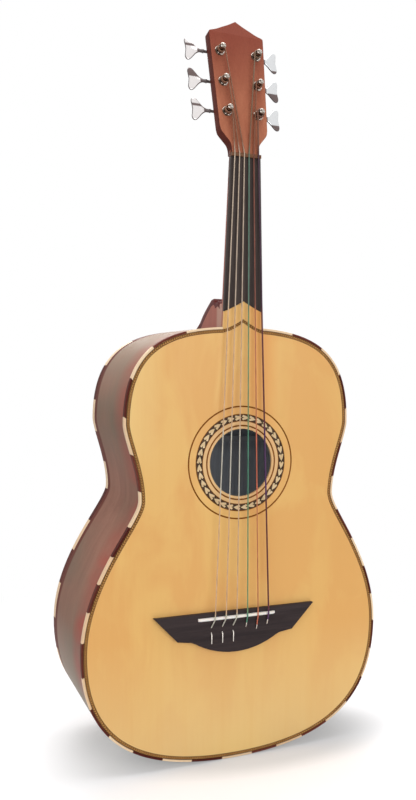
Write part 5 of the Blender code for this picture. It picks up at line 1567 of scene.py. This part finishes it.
def screw_mesh():
    """A small domed screw head with a cross slot, facing away from the head."""
    low, high = SCREW_CROSS_HEIGHT
    bars = [box_mesh((-x, -y, low), (x, y, high)) for x, y in SCREW_CROSS]
    return cut(lathe(SCREW_PROFILE, 20), bars)


def tuner_plate_meshes(side):
    """The plate with its two ears, and its four screws."""
    low_x, high_x = PLATE_CORNER - PLATE_INNER, PLATE_OUTER - PLATE_CORNER
    low_y, high_y = PLATE_CORNER - PLATE_BELOW_POST, WORM_DISTANCE + PLATE_ABOVE_KEY - PLATE_CORNER
    centres = ((high_x, high_y), (low_x, high_y), (low_x, low_y), (high_x, low_y))
    loop = []
    for quarter, centre in enumerate(centres):
        loop += [polar(PLATE_CORNER, math.pi / 2 * (quarter + step / 6), *centre) for step in range(7)]
    middle = at(0, 0, -GAP - PLATE_THICKNESS / 2)
    loops = [flipped(loop, side), hole(POST_RADIUS + RUNNING_GAP)]
    parts = [plate(loops, PLATE_THICKNESS, PLATE_EDGE, middle)]
    stand = Matrix(((0, 0, 1, 0), (1, 0, 0, 0), (0, -1, 0, 0), (0, 0, 0, 1)))
    base = -WORM_HEIGHT - PLATE_THICKNESS / 2
    ear = [polar(EAR_HALF, turn) for turn in half_turn(16)] + [(-EAR_HALF, base), (EAR_HALF, base)]
    bore = hole(WORM_ROOT_RADIUS + RUNNING_GAP, 32)
    for x in (-EAR_DISTANCE, EAR_DISTANCE):
        place = at(side * x, WORM_DISTANCE, -GAP - PLATE_THICKNESS - WORM_HEIGHT) @ stand
        parts.append(plate([ear, bore], EAR_THICKNESS, FINE_EDGE, place))
    screws = [moved(screw_mesh(), at(side * x, y, -GAP - PLATE_THICKNESS)) for x, y in SCREW_PLACES]
    return joined(parts), joined(screws)


def ring_solid(inner, outer, low, high):
    edge = min(FINE_EDGE, (high - low) / 4)
    rim = [(outer - edge, low), (outer, low + edge), (outer, high - edge), (outer - edge, high)]
    return lathe([(inner, low)] + rim + [(inner, high)], around=True)


def ferrule_mesh():
    """The six-sided nut with its chamfered corners, and the washer and sleeve below it."""
    bore = POST_RADIUS + RUNNING_GAP
    middle = at(0, 0, (FERRULE_HEIGHT + WASHER_HEIGHT) / 2)
    hexagon = hole(FERRULE_RADIUS - FINE_EDGE, 6)
    flange = plate([hexagon, hole(bore)], FERRULE_HEIGHT - WASHER_HEIGHT, FERRULE_EDGE, middle)
    washer = ring_solid(bore, FERRULE_RADIUS - FINE_EDGE / 2, GAP, WASHER_HEIGHT)
    return joined([flange, washer, ring_solid(bore, bore + FERRULE_WALL, -SLEEVE_LENGTH, GAP)])


def make_tuners():
    post = post_mesh()
    gear = gear_mesh()
    ferrule = ferrule_mesh()
    plates = {side: tuner_plate_meshes(side) for side in (-1, 1)}
    for k, (x, y) in enumerate(post_places()):
        side = 1 if x > 0 else -1
        tuner = f"tuner_{k + 1}_"
        at_post = HEAD @ at(x, y, 0)
        at_back = HEAD @ at(x, y, -HEAD_THICKNESS)
        at_key = HEAD @ at(x, y + WORM_DISTANCE, -KEY_AXIS_DEPTH)
        plating = ("key_plating", "key_rim_painted_reflection")
        for name, mesh, material, node, body, matrix in (
            ("string_post", post, "post_plating", "post", tuner + "post", at_post),
            ("gear", gear, "gear_brass", "", tuner + "post", at_post),
            ("nut", ferrule, "post_plating", "ferrule", ROOT, at_post),
            ("back_plate", plates[side][0], "chrome_plating", "plate", ROOT, at_back),
            ("screws", plates[side][1], "chrome_plating", "", ROOT, at_back),
            ("key_blade", key_mesh(side, KEY_DARK[k]), plating, "key", tuner + "key", at_key),
        ):
            piece(tuner + name, mesh, material, "chrome", tuner + node if node else "", body, matrix)


# Nodes that keep their own shape: material, width of their rounded edges, names
LININGS = ("top_lining_left", "top_lining_right", "back_lining_left", "back_lining_right")
KEPT = (
    ("graft_wood", 0.0004, ("end_graft",)),
    ("nut_bone_tan", 0.0004, ("nut",)),
    ("inside_wood_upright", 0.001, LININGS),
    ("inside_wood_cool", 0.001, ("back_centre_strip", "back_brace_lower", "back_brace_upper")),
    ("inside_wood", 0.001, ("top_brace_lower", "top_brace_upper", "bridge_patch", "tail_block")),
)


def dress_nodes():
    """Gives the kept nodes their wood or bone, or the painted shade inside the back, and small rounded edges.
    """
    for word, width, names in KEPT:
        for name in names:
            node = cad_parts[name]
            node.data.materials.clear()
            node.data.materials.append(MATERIALS[word])
            mod = node.modifiers.new("Edges", "BEVEL")
            mod.width = width
            mod.segments = 2
            mod.limit_method = "ANGLE"
            mod.angle_limit = math.radians(40)


# Camera, lamps and floor


def make_camera():
    camera = new_object("camera", bpy.data.cameras.new("camera"))
    turn = Matrix.Identity(4)
    for angle, axis in ((CAMERA_YAW, "Z"), (CAMERA_PITCH, "X"), (CAMERA_ROLL, "Y"), (90, "X")):
        turn = turn @ Matrix.Rotation(math.radians(angle), 4, axis)
    camera.matrix_world = at(*CAMERA_PLACE) @ turn
    camera.data.lens = LENS
    camera.data.sensor_width = SENSOR
    camera.data.clip_start = 0.01
    bpy.context.scene.camera = camera


def make_lamps():
    for name, place, target, size, power, colour in LAMPS:
        data = bpy.data.lights.new(name, "AREA")
        data.shape = "RECTANGLE"
        data.size, data.size_y = size
        data.energy = power
        data.color = colour
        lamp = new_object(name, data)
        lamp.location = place
        lamp.rotation_euler = (Vector(target) - Vector(place)).to_track_quat("-Z", "Y").to_euler()


def background_share(graph):
    """1 for rays that should see the white background, 0 for light on the object."""
    path = graph.add("LightPath").node.outputs
    seen = graph.math("MAXIMUM", path["Is Camera Ray"], path["Is Glossy Ray"])
    return graph.math("MAXIMUM", seen, path["Is Transmission Ray"])


def white_strength(graph, seen):
    return graph.remap(seen, 0.0, 1.0, AMBIENT, 1.0)


def make_world():
    world = bpy.data.worlds.new("studio")
    bpy.context.scene.world = world
    graph = Graph(world, "Background", Color=(1, 1, 1))
    graph.fill(graph.end, {"Strength": white_strength(graph, background_share(graph))})


def make_floor():
    """White paper that keeps the shadow near the object, with a soft painted shadow pool before the body, and
    runs out into the background further off.
    """
    graph = Graph(bpy.data.materials.new("floor_white"), "Material Output")
    graph.tree.nodes.remove(graph.tree.nodes["Principled BSDF"])
    smooth = {"interpolation_type": "SMOOTHSTEP"}
    place = graph.coordinates()
    away = graph.remap(graph.length(place), FLOOR_NEAR, FLOOR_FAR, **smooth)
    # Painted shadow: a soft darker pool before the body
    spot = graph.add("VectorMath", {0: place, 1: POOL_CENTRE}, operation="SUBTRACT")
    spot = graph.add("VectorMath", {0: spot, 1: POOL_REACH}, operation="DIVIDE")
    pool = graph.remap(graph.length(spot), *POOL_EDGE, 0.0, POOL_DARKNESS, **smooth)
    paint = graph.add("BsdfDiffuse", {"Color": graph.mix(pool, FLOOR_PAINT, BLACK)})
    seen = background_share(graph)
    glow = graph.add("Emission", {"Color": (1, 1, 1), "Strength": graph.times(seen, FLOOR_GLOW)})
    white = graph.add("Emission", {"Color": (1, 1, 1), "Strength": white_strength(graph, seen)})
    near = graph.add("AddShader", {0: paint, 1: glow})
    graph.fill(graph.end, {"Surface": graph.add("MixShader", {0: away, 1: near, 2: white})})
    bpy.ops.mesh.primitive_plane_add(size=FLOOR_SIZE, location=(0, 0, -FLOOR_DROP))
    floor = bpy.context.object
    floor.name = "floor"
    floor.data.materials.append(graph.owner)


make_camera()
make_world()
make_floor()
make_lamps()
make_soundboard()
make_purfling()
make_rosette()
make_bindings()
make_ribs()
make_back()
make_neck()
make_headstock()
make_fingerboard()
make_bridge()
make_saddle()
make_strings()
make_tuners()
dress_nodes()
bpy.context.scene.view_settings.view_transform = "Standard"
